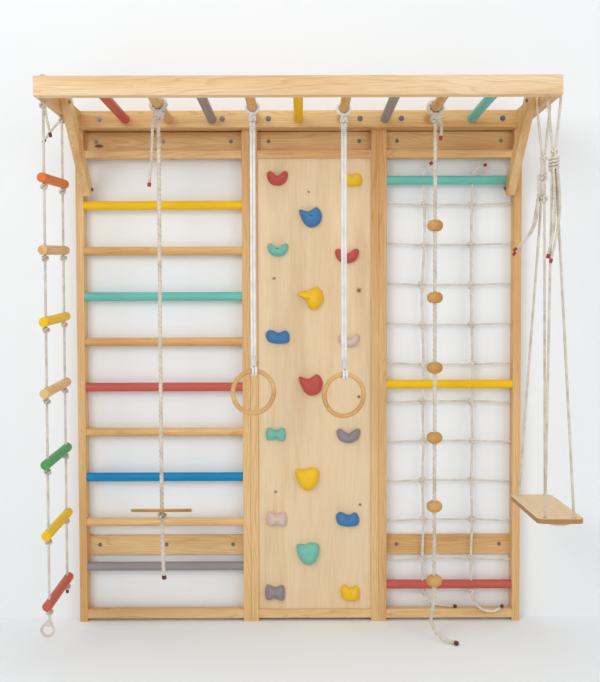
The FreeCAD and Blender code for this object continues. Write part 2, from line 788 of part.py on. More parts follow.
TOP_TAILS = (((1, 36), (14, 58), (40, 80)), ((1, 34), (24, 56), (62, 70)))
BOTTOM_TAILS = (
    ((1, -38, 112), (28, -36, 84), (75, -40, 66), (155, -44, 62)),
    ((1, -38, 112), (12, -58, 84), (40, -70, 56), (78, -72, 46), (114, -70, 52), (140, -66, 74)),
)


def net_row_z(row):
    return size.net_row_height + row * size.net_row_pitch


def net_upright_x(side):
    return right_panel_centre + size.net_upright_shift + side * size.net_upright_spacing / 2


def knot_rise(row):
    """The knots sag in the upper rows and pull up in the lower ones."""
    return 7 if row < NET_ROWS // 2 else -7


def upright_rope(side):
    """From the free end under the bottom bar, up through the bars and knots, to the free end on top."""
    index = (side + 1) // 2
    x = net_upright_x(side)
    tail = [(x + dx, y, z) for dx, y, z in reversed(BOTTOM_TAILS[index])]
    points = tail + [(x, net_depth, size.net_bottom_bar_height)]
    for row in range(NET_ROWS):
        points.append((x + NET_WANDER[side][row], net_depth, net_row_z(row) + knot_rise(row)))
    points.append((x, net_depth, size.net_top_bar_height))
    points += [(x + dx, net_depth, size.net_top_bar_height + dz) for dx, dz in TOP_TAILS[index]]
    return rope(f"net upright {index + 1}", points, size.net_upright_rope)


def cross_rope(row):
    y, z = net_depth + size.net_layer_gap, net_row_z(row)
    left, right = right_panel_left + size.post_width, half_width - size.post_width
    points = [(left - 22, y, z)]
    points += [(net_upright_x(side), y, z + knot_rise(row)) for side in (-1, 1)]
    points.append((right + 22, y, z))
    return rope(f"net row {row + 1}", points, size.net_cross_rope)


def net():
    feature(Part.makeCompound([upright_rope(side) for side in (-1, 1)]), "net_upright_ropes")
    feature(Part.makeCompound([cross_rope(row) for row in range(NET_ROWS)]), "net_cross_ropes")
    middle = net_depth + size.net_layer_gap / 2
    places = [(net_upright_x(side) + NET_WANDER[side][row], middle, net_row_z(row) + knot_rise(row))
              for side in (-1, 1) for row in range(NET_ROWS)]
    under_bar = size.net_bottom_bar_height - size.rung_diameter / 2 - size.net_knot_radius - 1
    places += [(net_upright_x(side), net_depth, under_bar) for side in (-1, 1)]
    feature(Part.makeCompound([knot(size.net_knot_radius, Vector(*spot)) for spot in places]), "net_knots")


# ---- hitches, and what hangs from the bars ----

def bar_x(index):
    return f"{index - BAR_COUNT // 2} * bar_pitch"


def hitch(x, y, strand):
    """Two wraps round a monkey bar with the knot under them; it turns on the bar."""
    wraps = [wrap(x, f"{y} + {side} * ({strand}) * 0.52", BAR_HEIGHT, "bar_diameter / 2 + hitch_clearance",
                  strand, ALONG_Y) for side in (-1, 1)]
    knot = ball(x, y, f"{BAR_HEIGHT} - hitch_knot_drop", "hitch_knot_radius")
    return fuse(wraps + [knot])


def hitch_with_tail(label, index, y, tail):
    """A hitch whose short spare end hangs beside the rope."""
    turns = hitch(bar_x(index), f"{y:.3f}", "thick_rope")
    doc.recompute()
    x = (index - BAR_COUNT // 2) * size.bar_pitch
    knot_z = bar_height - size.hitch_knot_drop
    points = [(x + dx, y + dy, knot_z + dz) for dx, dy, dz in tail]
    spare = rope(f"{label} tail", points, size.thick_rope * 0.8)
    feature(joined([turns.Shape, spare]), label)


def disc_swing():
    x, y = -3 * size.bar_pitch, -size.disc_wall_distance
    tail = ((-6, -4, 0), (-24, -12, -28), (-24, -9, -95), (-30, -4, -190), (-41, 0, -292))
    hitch_with_tail("disc_hitch", 1, y, tail)
    under = size.disc_height - 13
    line = [(x, y, pivot_height), (x, y, under - 40), (x + 5, y, under - 130), (x + 3, y + 3, under - 200),
            (x + 9, y, under - 270)]
    main = rope("disc rope", line, size.thick_rope)
    knots = [knot(size.rope_head_radius, Vector(x, y, pivot_height)),
             knot(size.hitch_knot_radius, Vector(x, y, under - 4.5))]
    feature(joined([main] + knots), "disc_rope")
    body = doc.addObject("PartDesign::Body", "Disc")
    sketch = body_sketch(body, "XY_Plane")
    circle(sketch, "0", "0", "disc_diameter")
    circle(sketch, "0", "0", "thick_rope + 2 * disc_hole_clearance")
    disc = pad(body, sketch, "disc_thickness")
    doc.recompute()
    rims = [f"Edge{i}" for i, edge in enumerate(disc.Shape.Edges, 1)
            if edge.Length > math.pi * size.disc_diameter * 0.9]
    rounding = body.newObject("PartDesign::Fillet", "DiscRounding")
    rounding.Base = (disc, rims)
    rounding.setExpression("Radius", formula("disc_thickness * 0.3"))
    lean = math.sin(math.radians(size.disc_tilt))
    place(body, bar_x(1), f"-disc_wall_distance - disc_thickness / 2 * {lean:.5f}", "disc_height",
          FreeCAD.Rotation(Vector(1, 0, 0), -size.disc_tilt))
    node(body, "disc_seat")


def gym_ring(side):
    """A turned wooden ring that tilts in the loop of its strap; the strap hangs from a loop on the bar."""
    index = BAR_COUNT // 2 + (-1 if side == "left" else 1)
    x, y = (index - BAR_COUNT // 2) * size.bar_pitch, -getattr(size, f"{side}_ring_wall_distance")
    centre_z = getattr(size, f"{side}_ring_height")
    node(hitch(bar_x(index), f"-{side}_ring_wall_distance", "strap_strand"), f"{side}_ring_loop")

    swing_radius = (size.ring_diameter - size.ring_thickness) / 2
    top = Vector(x, y, centre_z + swing_radius)
    turn = math.radians(size.ring_turn)
    tangent = Vector(math.cos(turn), math.sin(turn), 0)
    strand = size.strap_strand
    loop_radius = size.ring_thickness / 2 + size.ring_loop_clearance + strand / 2
    loops = [Part.makeTorus(loop_radius, strand / 2, top + tangent * shift, tangent)
             for shift in (-size.loop_spacing / 2, size.loop_spacing / 2)]
    lashing_z = top.z + loop_radius + strand / 2 - 4
    lashing_start = Vector(x, y, lashing_z)
    lashing = seam_to_wall(
        Part.makeCylinder(size.lashing_radius, size.lashing_length, lashing_start), lashing_start)
    ends = pivot_height - 6, lashing_z + 20
    strands = [rope(f"{side} strap", [(x + shift, y, z) for z in ends], strand)
               for shift in (-6.2, 6.2)]
    head = knot(size.rope_head_radius, Vector(x, y, pivot_height))
    feature(joined(loops + [lashing, head] + strands), f"{side}_ring_strap")

    ring = doc.addObject("Part::Torus", "Ring")
    bind(ring, Radius1="(ring_diameter - ring_thickness) / 2", Radius2="ring_thickness / 2")
    facing = FreeCAD.Rotation(Vector(0, 0, 1), size.ring_turn).multiply(ALONG_Y)
    place(ring, bar_x(index), f"-{side}_ring_wall_distance", f"{side}_ring_height", facing)
    node(ring, f"{side}_ring")


def bead_rope():
    x, y = 3 * size.bar_pitch, -size.bead_wall_distance
    hitch_with_tail("bead_hitch", 7, y, ((6, -2, 0), (26, -6, -20), (25, -8, -52), (20, -10, -92)))
    lowest = size.lowest_bead_height
    tail = [(x - 2, y - 2, lowest - 101), (x - 14, y - 2, lowest - 142), (x - 13, y - 3, lowest - 181),
            (x + 6, y - 10, lowest - 221), (x + 30, y - 25, 20), (x + 60, y - 44, 10.5), (x + 92, y - 62, 9.2)]
    main = rope("bead rope", [(x, y, pivot_height), (x, y, lowest - 45)] + tail, size.thick_rope)
    stops = []
    for rise in BEAD_RISES:
        under = Vector(x, y, lowest + rise - size.bead_height / 2 - size.bead_stop_length - 1)
        stop = Part.makeCylinder(size.bead_stop_diameter / 2, size.bead_stop_length, under)
        stops.append(seam_to_wall(stop, under))
    head = knot(size.rope_head_radius, Vector(x, y, pivot_height))
    feature(joined([main, head] + stops), "bead_rope")
    node(group([bead(rise) for rise in BEAD_RISES]), "beads")


def bead(rise):
    """A turned bead: an arc revolved about its bore."""
    body = doc.addObject("PartDesign::Body", "Bead")
    sketch = body_sketch(body, "XZ_Plane")
    bore = size.thick_rope / 2 + size.rope_hole_clearance
    outer, top = size.bead_diameter / 2, size.bead_height / 2
    low, high = Vector(bore, -top, 0), Vector(bore, top, 0)
    shoulder = outer * 0.55
    sketch.addGeometry(Part.LineSegment(low, high))
    sketch.addGeometry(Part.LineSegment(high, Vector(shoulder, top, 0)))
    sketch.addGeometry(Part.Arc(Vector(shoulder, top, 0), Vector(outer, 0, 0), Vector(shoulder, -top, 0)))
    sketch.addGeometry(Part.LineSegment(Vector(shoulder, -top, 0), low))
    turned = body.newObject("PartDesign::Revolution", "Turned")
    turned.Profile = sketch
    turned.ReferenceAxis = (sketch, ["V_Axis"])
    turned.Angle = 360
    place(body, bar_x(7), "-bead_wall_distance", f"lowest_bead_height + {rise}")
    return body


# ---- rope ladder, under the left side beam ----

LOOP_STANDOFF = 7
LADDER_X = f"{LEFT_EDGE} + post_width / 2"
ladder_x = -half_width + size.post_width / 2
rope_end_underside = beam_underside - 3
ladder_pivot = rope_end_underside - size.pivot_gap - size.ladder_knot_radius - 1
ladder_ys = [-size.ladder_wall_distance + side * size.ladder_rope_spacing / 2 for side in (-1, 1)]


def beam_loop(name, x, y, end_z, end_spread):
    """A rope laid over a side beam; its two legs come together at end_z."""
    side = size.post_width / 2 + LOOP_STANDOFF
    low, high = beam_underside - LOOP_STANDOFF, size.overall_height + LOOP_STANDOFF
    points = [(x - end_spread, y, end_z), (x - side, y, low), (x - side, y, high),
              (x + side, y, high), (x + side, y, low), (x + end_spread, y, end_z)]
    return rope(name, points, size.thin_rope, corner_radius=8)


def beam_loops():
    """The swing's loops over its beam, and the ladder's rope ends in their holes with a stopper knot on top."""
    ends = []
    for y in ladder_ys:
        line = rope("ladder rope end",
                    [(ladder_x, y, rope_end_underside), (ladder_x, y, size.overall_height + 10)], size.thin_rope)
        stopper = knot(size.ladder_knot_radius, Vector(ladder_x, y, size.overall_height + 12))
        ends.append(joined([line, stopper]))
    end = size.swing_pivot_height + size.ladder_knot_radius + size.pivot_gap + 1
    loops = [beam_loop("swing loop", swing_x, y, end, 6.5) for y in swing_ys]
    feature(Part.makeCompound(ends + loops), "beam_loops")


def ladder_rung_z(index):
    return size.lowest_ladder_rung + index * size.ladder_rung_pitch


def rope_ladder():
    front, rear = ladder_ys
    tilt = math.tan(math.radians(size.ladder_rung_tilt)) * size.ladder_rope_spacing / 2
    parts = []
    for name, y, rise, end in (("front", front, -tilt, 185), ("rear", rear, tilt, 222)):
        line = rope(f"ladder {name} rope", [(ladder_x, y, ladder_pivot), (ladder_x, y, end)], size.thin_rope)
        knots = [knot(size.ladder_knot_radius + 1, Vector(ladder_x, y, ladder_pivot))]
        for i in range(LADDER_RUNGS):
            drop = size.ladder_rung_diameter / 2 + size.ladder_knot_radius + 0.5
            knots.append(knot(size.ladder_knot_radius, Vector(ladder_x, y, ladder_rung_z(i) + rise - drop)))
        parts.append(joined([line] + knots))
    ring = Part.makeTorus(24, size.thin_rope / 2, Vector(ladder_x - 8, front, 160), Vector(0, 1, 0))
    knot_z = ladder_pivot - 2
    tails = [
        [(ladder_x + 4, front, knot_z), (ladder_x + 12, front - 1, knot_z - 40),
         (ladder_x + 20, front, knot_z - 80), (ladder_x + 27, front + 2, knot_z - 120)],
        [(ladder_x - 6, rear, knot_z), (ladder_x - 28, rear - 6, knot_z - 25),
         (ladder_x - 50, rear - 14, knot_z - 57), (ladder_x - 74, rear - 20, knot_z - 95)],
    ]
    front_tail, rear_tail = [rope("ladder tail", tail, size.thin_rope) for tail in tails]
    ropes = [joined([parts[0], ring, front_tail]), joined([parts[1], rear_tail])]
    feature(Part.makeCompound(ropes), "ladder_ropes")
    ladder_rungs()


def round_ended(stick):
    """Rounds the rims of both ends of a rod."""
    doc.recompute()
    fillet = doc.addObject("Part::Fillet", "RoundEnded")
    fillet.Base = stick
    fillet.Edges = [(i, size.ladder_rung_rounding, size.ladder_rung_rounding)
                    for i, edge in enumerate(stick.Shape.Edges, 1) if len(edge.Vertexes) == 1]
    return fillet


def ladder_rungs():
    colours = ("red", "yellow", "green", "natural", "yellow", "natural", "orange")
    made = []
    length, slope = "ladder_rung_length", math.radians(size.ladder_rung_tilt)
    turn = FreeCAD.Rotation(Vector(1, 0, 0), size.ladder_rung_tilt).multiply(ALONG_Y)
    for i in range(LADDER_RUNGS):
        centre = f"lowest_ladder_rung + {i} * ladder_rung_pitch"
        start_y = f"-ladder_wall_distance - {length} / 2 * {math.cos(slope):.5f}"
        start_z = f"{centre} - {length} / 2 * {math.sin(slope):.5f}"
        stick = rod(LADDER_X, start_y, start_z, "ladder_rung_diameter", length, turn)
        holes = [rod(LADDER_X, f"-ladder_wall_distance + {side} * ladder_rope_spacing / 2", f"{centre} - 60",
                     "thin_rope + 2 * rope_hole_clearance", "120", UPRIGHT) for side in (-1, 1)]
        made.append(cut(round_ended(stick), holes))
    for colour in ("red", "green", "orange"):
        node(made[colours.index(colour)], f"{colour}_ladder_rung")
    for colour in ("yellow", "natural"):
        same = [stick for stick, shade in zip(made, colours) if shade == colour]
        node(group(same), f"{colour}_ladder_rungs")


# ---- board swing, under the right side beam ----

swing_x = half_width - size.post_width / 2
swing_ys = [-size.swing_front_distance, -size.swing_rear_distance]


def swing_seat():
    """A board with round corners and two rope holes at each end."""
    body = doc.addObject("PartDesign::Body", "Seat")
    sketch = body_sketch(body, "XY_Plane")
    across, along, corner = size.seat_width / 2, size.seat_length / 2, size.seat_corner
    outline = [(across, along - corner), (across - corner, along),
               (corner - across, along), (-across, along - corner),
               (-across, corner - along), (corner - across, -along),
               (across - corner, -along), (across, corner - along)]
    corners = [Vector(u, v, 0) for u, v in outline]
    for i in range(0, len(corners), 2):
        start, end, following = corners[i], corners[i + 1], corners[(i + 2) % len(corners)]
        centre = Vector(math.copysign(across - corner, start.x), math.copysign(along - corner, start.y), 0)
        middle = centre + (start + end - centre * 2).normalize() * corner
        sketch.addGeometry(Part.Arc(start, middle, end))
        sketch.addGeometry(Part.LineSegment(end, following))
    board = pad(body, sketch, "seat_thickness")
    doc.recompute()
    holes = body_sketch(body, "XY_Plane")
    for u in (-1, 1):
        for v in (-1, 1):
            circle(holes, f"{u} * seat_hole_spacing / 2", f"{v} * (seat_length / 2 - seat_hole_inset)",
                   "seat_hole_diameter")
    bored = body.newObject("PartDesign::Pocket", "RopeHoles")
    bored.Profile = holes
    bored.Type = "ThroughAll"
    bored.Reversed = True
    doc.recompute()
    if board.Shape.Volume - bored.Shape.Volume < 1000:
        raise ValueError("the seat's rope holes cut nothing")
    place(body, f"{HALF_WIDTH} - post_width / 2", "-seat_wall_distance", "seat_height")
    node(body, "swing_seat")


def swing_ropes():
    """At each end of the seat one rope comes down through a hole, passes under and goes up again."""
    front, rear = swing_ys
    strand, half_gap = size.thin_rope, size.swing_rope_gap / 2
    spread, under = size.seat_hole_spacing / 2, size.seat_height - 9
    hole_front = -size.seat_wall_distance - size.seat_length / 2 + size.seat_hole_inset
    hole_rear = -size.seat_wall_distance + size.seat_length / 2 - size.seat_hole_inset
    top = size.swing_pivot_height
    heads = [knot(size.ladder_knot_radius + 1, Vector(swing_x, y, top)) for y in swing_ys]
    knot_start = Vector(swing_x, front, top - size.front_knot_drop)
    front_knot = seam_to_wall(
        Part.makeCylinder(size.hitch_knot_radius, size.front_knot_length, knot_start), knot_start)
    rear_drops = (size.rear_knot_drop, size.rear_knot_drop + size.rear_knot_pitch)
    legs_end = top - rear_drops[1] + 4
    lines = []
    for name, y, hole, start in (("front", front, hole_front, top - 30), ("rear", rear, hole_rear, legs_end - 8)):
        seat_middle = size.seat_height + size.seat_thickness / 2
        onward = 1 + (seat_middle - under) / (start - seat_middle)
        reach, y_under = 6 + (spread - 6) * onward, y + (hole - y) * onward
        points = [(swing_x - 6, y, start), (swing_x - reach, y_under, under), (swing_x + reach, y_under, under),
                  (swing_x + 6, y, start)]
        lines.append(rope(f"swing {name} ropes", points, strand, corner_radius=9))
    rear_legs = [rope("swing rear leg", [(x, rear, top - 4), (x, rear, legs_end)], strand)
                 for x in (swing_x - half_gap, swing_x + half_gap)]
    rear_knots = [knot(size.hitch_knot_radius, Vector(swing_x, rear, top - drop)) for drop in rear_drops]
    shapes = [joined([lines[0], heads[0], front_knot]), joined([lines[1], heads[1]] + rear_legs + rear_knots)]
    feature(Part.makeCompound(shapes), "swing_ropes")
    # Each spare end as offsets from its knot's line in X, its line in Y, and the swing's pivot in Z
    rear_tails = (
        ((-18, -2, -73), (-22, -8, -160), (-24, -14, -235),
         (-48, -14, -300), (-82, -12, -335), (-119, -10, -372)),
        ((-20, 4, -161), (-27, 10, -215), (-34, 14, -270),
         (-56, 16, -312), (-84, 17, -348), (-115, 18, -388)),
    )
    front_tails = (
        ((-6, -16, -66), (-4, -23, -150), (-2, -32, -262), (-18, -40, -345), (-33, -37, -412)),
        ((8, -16, -66), (18, -24, -150), (11, -40, -262), (-5, -45, -350), (-24, -47, -430)),
    )
    tails = [[(swing_x + dx, y + dy, top + dz) for dx, dy, dz in tail]
             for y, pair in ((rear, rear_tails), (front, front_tails)) for tail in pair]
    feature(Part.makeCompound([rope("swing tail", tail, strand) for tail in tails]), "swing_tails")


# ---- the whole unit ----

left_posts()
centre_posts()
right_posts()
rails()
wall_boards()
wall_screws()
panel_bolts()
rungs()
net_bar_pieces()
climbing_board()
holds()
hold_fasteners()
canopy()
braces()
frame_bolts()
net()
disc_swing()
gym_ring("left")
gym_ring("right")
bead_rope()
beam_loops()
rope_ladder()
swing_seat()
swing_ropes()
doc.recompute()

for thing in doc.Objects:
    if "Invalid" in thing.State or "Error" in thing.State:
        raise ValueError(f"{thing.Name} ({thing.Label}) failed: {thing.State}")
for thing in nodes:
    if thing.Shape.isNull() or not thing.Shape.isValid() or not thing.Shape.Solids:
        raise ValueError(f"{thing.Label} has no valid solid")

os.makedirs("parts", exist_ok=True)
for thing in nodes:
    thing.Shape.exportStep(f"parts/{thing.Label}.step")
print(f"{len(nodes)} nodes, {sum(len(thing.Shape.Solids) for thing in nodes)} solids")
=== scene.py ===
# %% [markdown]
# # Indoor climbing wall
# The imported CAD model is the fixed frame. Its posts, rails, bars, beams, rings, beads and seats keep their
# shapes and only get materials. What CAD leaves plain is made here: twisted and braided ropes, knots,
# hitches, rope ends and moulded climbing holds. Everything is in metres, in the CAD model's own frame.

# %% Load the frame
import math

import bmesh
import bpy
from mathutils import Matrix, Vector, noise


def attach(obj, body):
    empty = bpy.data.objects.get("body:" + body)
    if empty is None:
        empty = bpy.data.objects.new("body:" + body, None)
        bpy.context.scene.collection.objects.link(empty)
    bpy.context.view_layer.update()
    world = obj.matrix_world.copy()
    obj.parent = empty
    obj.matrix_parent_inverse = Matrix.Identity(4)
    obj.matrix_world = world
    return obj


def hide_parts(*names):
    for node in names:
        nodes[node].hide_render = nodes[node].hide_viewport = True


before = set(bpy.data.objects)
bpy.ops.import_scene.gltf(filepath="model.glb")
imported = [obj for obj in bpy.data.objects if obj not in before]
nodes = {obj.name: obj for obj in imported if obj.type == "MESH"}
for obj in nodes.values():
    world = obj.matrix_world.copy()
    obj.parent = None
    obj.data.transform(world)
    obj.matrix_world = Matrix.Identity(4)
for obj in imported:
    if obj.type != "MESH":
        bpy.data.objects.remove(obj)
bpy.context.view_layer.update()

# %% [markdown]
# ## Shared sizes
# Ropes and knots have to meet the wooden pieces, so the lengths that they follow repeat the CAD model's own
# sizes. Naming them once keeps a rope, its hitch and its knots together.

# %% Sizes
HALF_WIDTH = 1.0
HEIGHT = 2.3
BEAM = 0.075
BAR_Z = HEIGHT - BEAM / 2
BAR_RADIUS = 0.02
BAR_PITCH = 0.192
THIN = 0.0115
NET_UPRIGHT = 0.0135
NET_CROSS = 0.01
THICK = 0.0175
STRAND = 0.012
PIVOT_Z = BAR_Z - 0.075
KNOT_Z = BAR_Z - 0.044
BOARD_FRONT = -0.05
TIGHT_KNOT, TIGHT_STRAND = 0.0165, 0.0105
LOOSE_KNOT, LOOSE_STRAND = 0.0205, 0.0112
LAY = 3.6  # a strand goes once round its rope in this many diameters
print("bars at", BAR_Z, "m, rope pivots at", PIVOT_Z, "m")

# %% [markdown]
# ## Materials
# Every material is procedural and reads Object coordinates, which are metres, so a pattern's scale is its
# real size. An image could hold the same grain, but it would need a UV map on every board. `add` makes one
# node: a socket given as an input is linked, and anything else is set as a value.

# %% Node helpers
def colour(code):
    """An sRGB hex colour as the linear colour that shaders read."""
    parts = [int(code[i:i + 2], 16) / 255 for i in (1, 3, 5)]
    return tuple(c / 12.92 if c < 0.04045 else ((c + 0.055) / 1.055) ** 2.4 for c in parts) + (1.0,)


def add(tree, kind, inputs=(), **settings):
    node = tree.nodes.new(kind)
    for name, value in settings.items():
        setattr(node, name, value)
    for name, value in dict(inputs).items():
        if isinstance(value, bpy.types.NodeSocket):
            tree.links.new(value, node.inputs[name])
        else:
            node.inputs[name].default_value = value
    return node


def material(name, roughness=0.6, metallic=0.0):
    made = bpy.data.materials.new(name)
    made.use_nodes = True
    shader = made.node_tree.nodes["Principled BSDF"]
    shader.inputs["Roughness"].default_value = roughness
    shader.inputs["Metallic"].default_value = metallic
    return made, made.node_tree, shader


def ramp(tree, factor, stops):
    node = add(tree, "ShaderNodeValToRGB", {"Fac": factor})
    elements = node.color_ramp.elements
    while len(elements) < len(stops):
        elements.new(0.5)
    for element, (place, code) in zip(elements, stops):
        element.position = place
        element.color = colour(code)
    return node.outputs["Color"]


def maths(tree, operation, first, second=0.0, clamp=False):
    return add(tree, "ShaderNodeMath", {0: first, 1: second}, operation=operation, use_clamp=clamp).outputs[0]


def mix(tree, factor, first, second, blend="MIX"):
    node = add(tree, "ShaderNodeMix", data_type="RGBA", blend_type=blend)
    for index, value in ((0, factor), (6, first), (7, second)):
        if isinstance(value, bpy.types.NodeSocket):
            tree.links.new(value, node.inputs[index])
        else:
            node.inputs[index].default_value = value
    return node.outputs[2]


def place(tree, scale=(1, 1, 1), shift=(0, 0, 0)):
    """Object coordinates in metres, scaled along each axis."""
    coordinates = add(tree, "ShaderNodeTexCoord")
    return add(tree, "ShaderNodeMapping", {"Vector": coordinates.outputs["Object"], "Scale": scale,
                                           "Location": shift}).outputs[0]


def fractal(tree, vector, scale, detail=3.0, rough=0.5):
    return add(tree, "ShaderNodeTexNoise", {"Vector": vector, "Scale": scale, "Detail": detail,
                                            "Roughness": rough}).outputs["Fac"]


def bump(tree, shader, height, distance, strength=1.0):
    node = add(tree, "ShaderNodeBump", {"Height": height, "Distance": distance, "Strength": strength})
    tree.links.new(node.outputs["Normal"], shader.inputs["Normal"])

# %% [markdown]
# ### Pine
# The frame is planed pine under clear varnish: pale, a little glossy, with long growth lines and dark round
# knots. A board is cut from a trunk, so its face shows the growth rings as long lines. The ring phase is
# the place across the grain, bent by slow noise and pushed aside near each knot. `grain` is the axis that
# the fibres run along.

# %% Pine
def along(grain, lengthwise, across):
    return tuple(lengthwise if axis == grain else across for axis in "xyz")


def pine(name, grain, light="#ECD0A0", dark="#CE9F68", ring_pitch=0.011, knots=True, shift=0.0):
    made, tree, shader = material(name, roughness=0.5)
    flow = place(tree, along(grain, 0.09, 1.0), (shift, shift * 0.7, shift * 1.3))
    slow = fractal(tree, flow, 9.0, 2.0)
    axes = add(tree, "ShaderNodeSeparateXYZ", {0: flow})
    first, second = [axes.outputs[axis.upper()] for axis in "xyz" if axis != grain]
    across = maths(tree, "ADD", first, maths(tree, "MULTIPLY", second, 0.62))
    phase = maths(tree, "ADD", maths(tree, "DIVIDE", across, ring_pitch), maths(tree, "MULTIPLY", slow, 16.0))
    knot_space = place(tree, along(grain, 3.4, 8.5), (shift + 0.31, shift + 0.17, shift + 0.53))
    cells = add(tree, "ShaderNodeTexVoronoi", {"Vector": knot_space, "Scale": 1.0, "Randomness": 1.0})
    distance = cells.outputs["Distance"]
    lot = add(tree, "ShaderNodeSeparateColor", {0: cells.outputs["Color"]}).outputs[0]
    chosen = maths(tree, "GREATER_THAN", lot, 0.5 if knots else 2.0)
    fading = maths(tree, "POWER", 2.718, maths(tree, "MULTIPLY", distance, -9.0))
    push = maths(tree, "MULTIPLY", fading, chosen)
    phase = maths(tree, "ADD", phase, maths(tree, "MULTIPLY", push, 7.0))
    ring = maths(tree, "FRACT", phase)
    base = ramp(tree, ring, [(0.0, light), (0.62, light), (0.9, dark), (1.0, light)])
    fibre = fractal(tree, place(tree, along(grain, 9.0, 420.0)), 1.0, 3.0, 0.6)
    fibre_tint = ramp(tree, fibre, [(0.32, "#DCBA8C"), (0.68, "#FFF8EC")])
    tone = fractal(tree, place(tree, along(grain, 0.7, 11.0), (shift, 0, 0)), 1.0, 1.0)
    tone_tint = ramp(tree, tone, [(0.35, "#E7CAA0"), (0.62, "#FFFAF0")])
    soft = mix(tree, 0.5, base, colour(light))
    grained = mix(tree, 0.55, soft, fibre_tint, "MULTIPLY")
    toned = mix(tree, 0.8, grained, tone_tint, "MULTIPLY")
    heart = maths(tree, "MULTIPLY", maths(tree, "LESS_THAN", distance, 0.055), chosen)
    halo = maths(tree, "MULTIPLY", maths(tree, "LESS_THAN", distance, 0.08), chosen)
    ringed = mix(tree, maths(tree, "MULTIPLY", halo, 0.6), toned, colour("#9A5A28"))
    done = mix(tree, maths(tree, "MULTIPLY", heart, 0.85), ringed, colour("#5A2F16"))
    tree.links.new(done, shader.inputs["Base Color"])
    bump(tree, shader, fibre, 0.0004, 0.35)
    return made


# %% [markdown]
# ### Birch plywood
# The climbing board, the disc and the swing's seat are birch ply under clear varnish. A face is one peeled
# sheet, so it has hardly any figure, and the climbing board's has a few dark pin knots. An edge shows the
# glued layers. Two material slots would do, but every sheet's faces would have to be sorted first. One
# material draws both here, and tells a face from an edge by its normal.

# %% Plywood
PLY_PAIR = 0.003  # two glued layers of birch


def plywood(name, face_axis, light="#E9CDA4", dark="#D8B483", spots=()):
    """Varnished birch ply: a pale face with faint figure and pin knots, and glued layers on the edges."""
    made, tree, shader = material(name, roughness=0.55)
    grain = "z" if face_axis == "y" else "y"
    figure = fractal(tree, place(tree, along(grain, 0.55, 5.5)), 1.6, 4.0, 0.62)
    fine = fractal(tree, place(tree, along(grain, 7.0, 260.0)), 1.0, 3.0, 0.6)
    face = mix(tree, 0.5, ramp(tree, figure, [(0.36, dark), (0.5, light), (0.64, "#E0C195")]),
               ramp(tree, fine, [(0.35, "#E2C59B"), (0.65, "#F0DBBB")]))
    for x, z, radius in spots:
        away = add(tree, "ShaderNodeVectorMath", {0: place(tree, (1, 0, 1)), 1: (x, 0, z)},
                   operation="DISTANCE")
        for reach, strength, code in ((radius * 1.7, 0.35, "#8A5A30"), (radius, 0.75, "#54331D")):
            inside = maths(tree, "LESS_THAN", away.outputs["Value"], reach)
            face = mix(tree, maths(tree, "MULTIPLY", inside, strength), face, colour(code))
    layers = add(tree, "ShaderNodeSeparateXYZ", {0: place(tree, (1, 1, 1))}).outputs[face_axis.upper()]
    stripe = maths(tree, "FRACT", maths(tree, "DIVIDE", layers, PLY_PAIR))
    edge = ramp(tree, stripe, [(0.0, "#C99C62"), (0.45, "#C08E55"), (0.55, "#8F6233"), (1.0, "#8F6233")])
    normal = add(tree, "ShaderNodeNewGeometry").outputs["Normal"]
    facing = add(tree, "ShaderNodeSeparateXYZ", {0: normal}).outputs[face_axis.upper()]
    on_edge = maths(tree, "LESS_THAN", maths(tree, "ABSOLUTE", facing), 0.5)
    tree.links.new(mix(tree, on_edge, face, edge), shader.inputs["Base Color"])
    bump(tree, shader, fine, 0.0003, 0.3)
    return made


# %% [markdown]
# ### Satin paint
# The coloured rungs and bars are turned wood under a thin coat of satin paint. A flat colour would look
# like plastic. So the colour is shaded a little by stretched noise, because the fibres show through the
# coat, and small specks are worn down to the wood. The tape on the rope ends uses it too, with specks of
# its own colour.

# %% Satin paint
def painted(name, code, grain, worn="#D8AE72"):
    """Satin paint on a turned bar: fibres telegraph through it and a few chips show the wood."""
    made, tree, shader = material(name, roughness=0.45)
    shader.inputs["Specular IOR Level"].default_value = 0.3
    fibre = fractal(tree, place(tree, along(grain, 12.0, 330.0)), 1.0, 3.0, 0.6)
    cloud = fractal(tree, place(tree, along(grain, 3.0, 30.0)), 1.0, 2.0)
    shade = mix(tree, 0.2, colour(code), ramp(tree, fibre, [(0.3, "#B9B4AA"), (0.7, "#FFFFFF")]), "MULTIPLY")
    shade = mix(tree, 0.16, shade, ramp(tree, cloud, [(0.35, "#C9C6C0"), (0.65, "#FFFFFF")]), "MULTIPLY")
    wear = fractal(tree, place(tree, along(grain, 26.0, 120.0)), 1.0, 4.0, 0.7)
    chips = maths(tree, "MULTIPLY", maths(tree, "GREATER_THAN", wear, 0.76), 0.5)
    tree.links.new(mix(tree, chips, shade, colour(worn)), shader.inputs["Base Color"])
    bump(tree, shader, fibre, 0.0004, 0.3)
    return made


# %% [markdown]
# ### Rope, steel and moulded plastic
# The ropes are twisted cotton: dull, with a soft sheen, darker between the strands. Their strands are in
# their meshes, so the material only adds fibres and a little grime. The ring straps are braided polyester,
# whiter and smoother; their braid is too fine to model, so it is a bump that follows each strap's own UVs,
# with painted shade in its grooves.
# The fasteners are zinc-plated steel. The holds are cast resin with sand in it, which gives them a dull and
# gritty face.

# %% Rope, steel, plastic
WEAVE = 25.13  # about eight pi: each set of the braid's yarns comes round four times


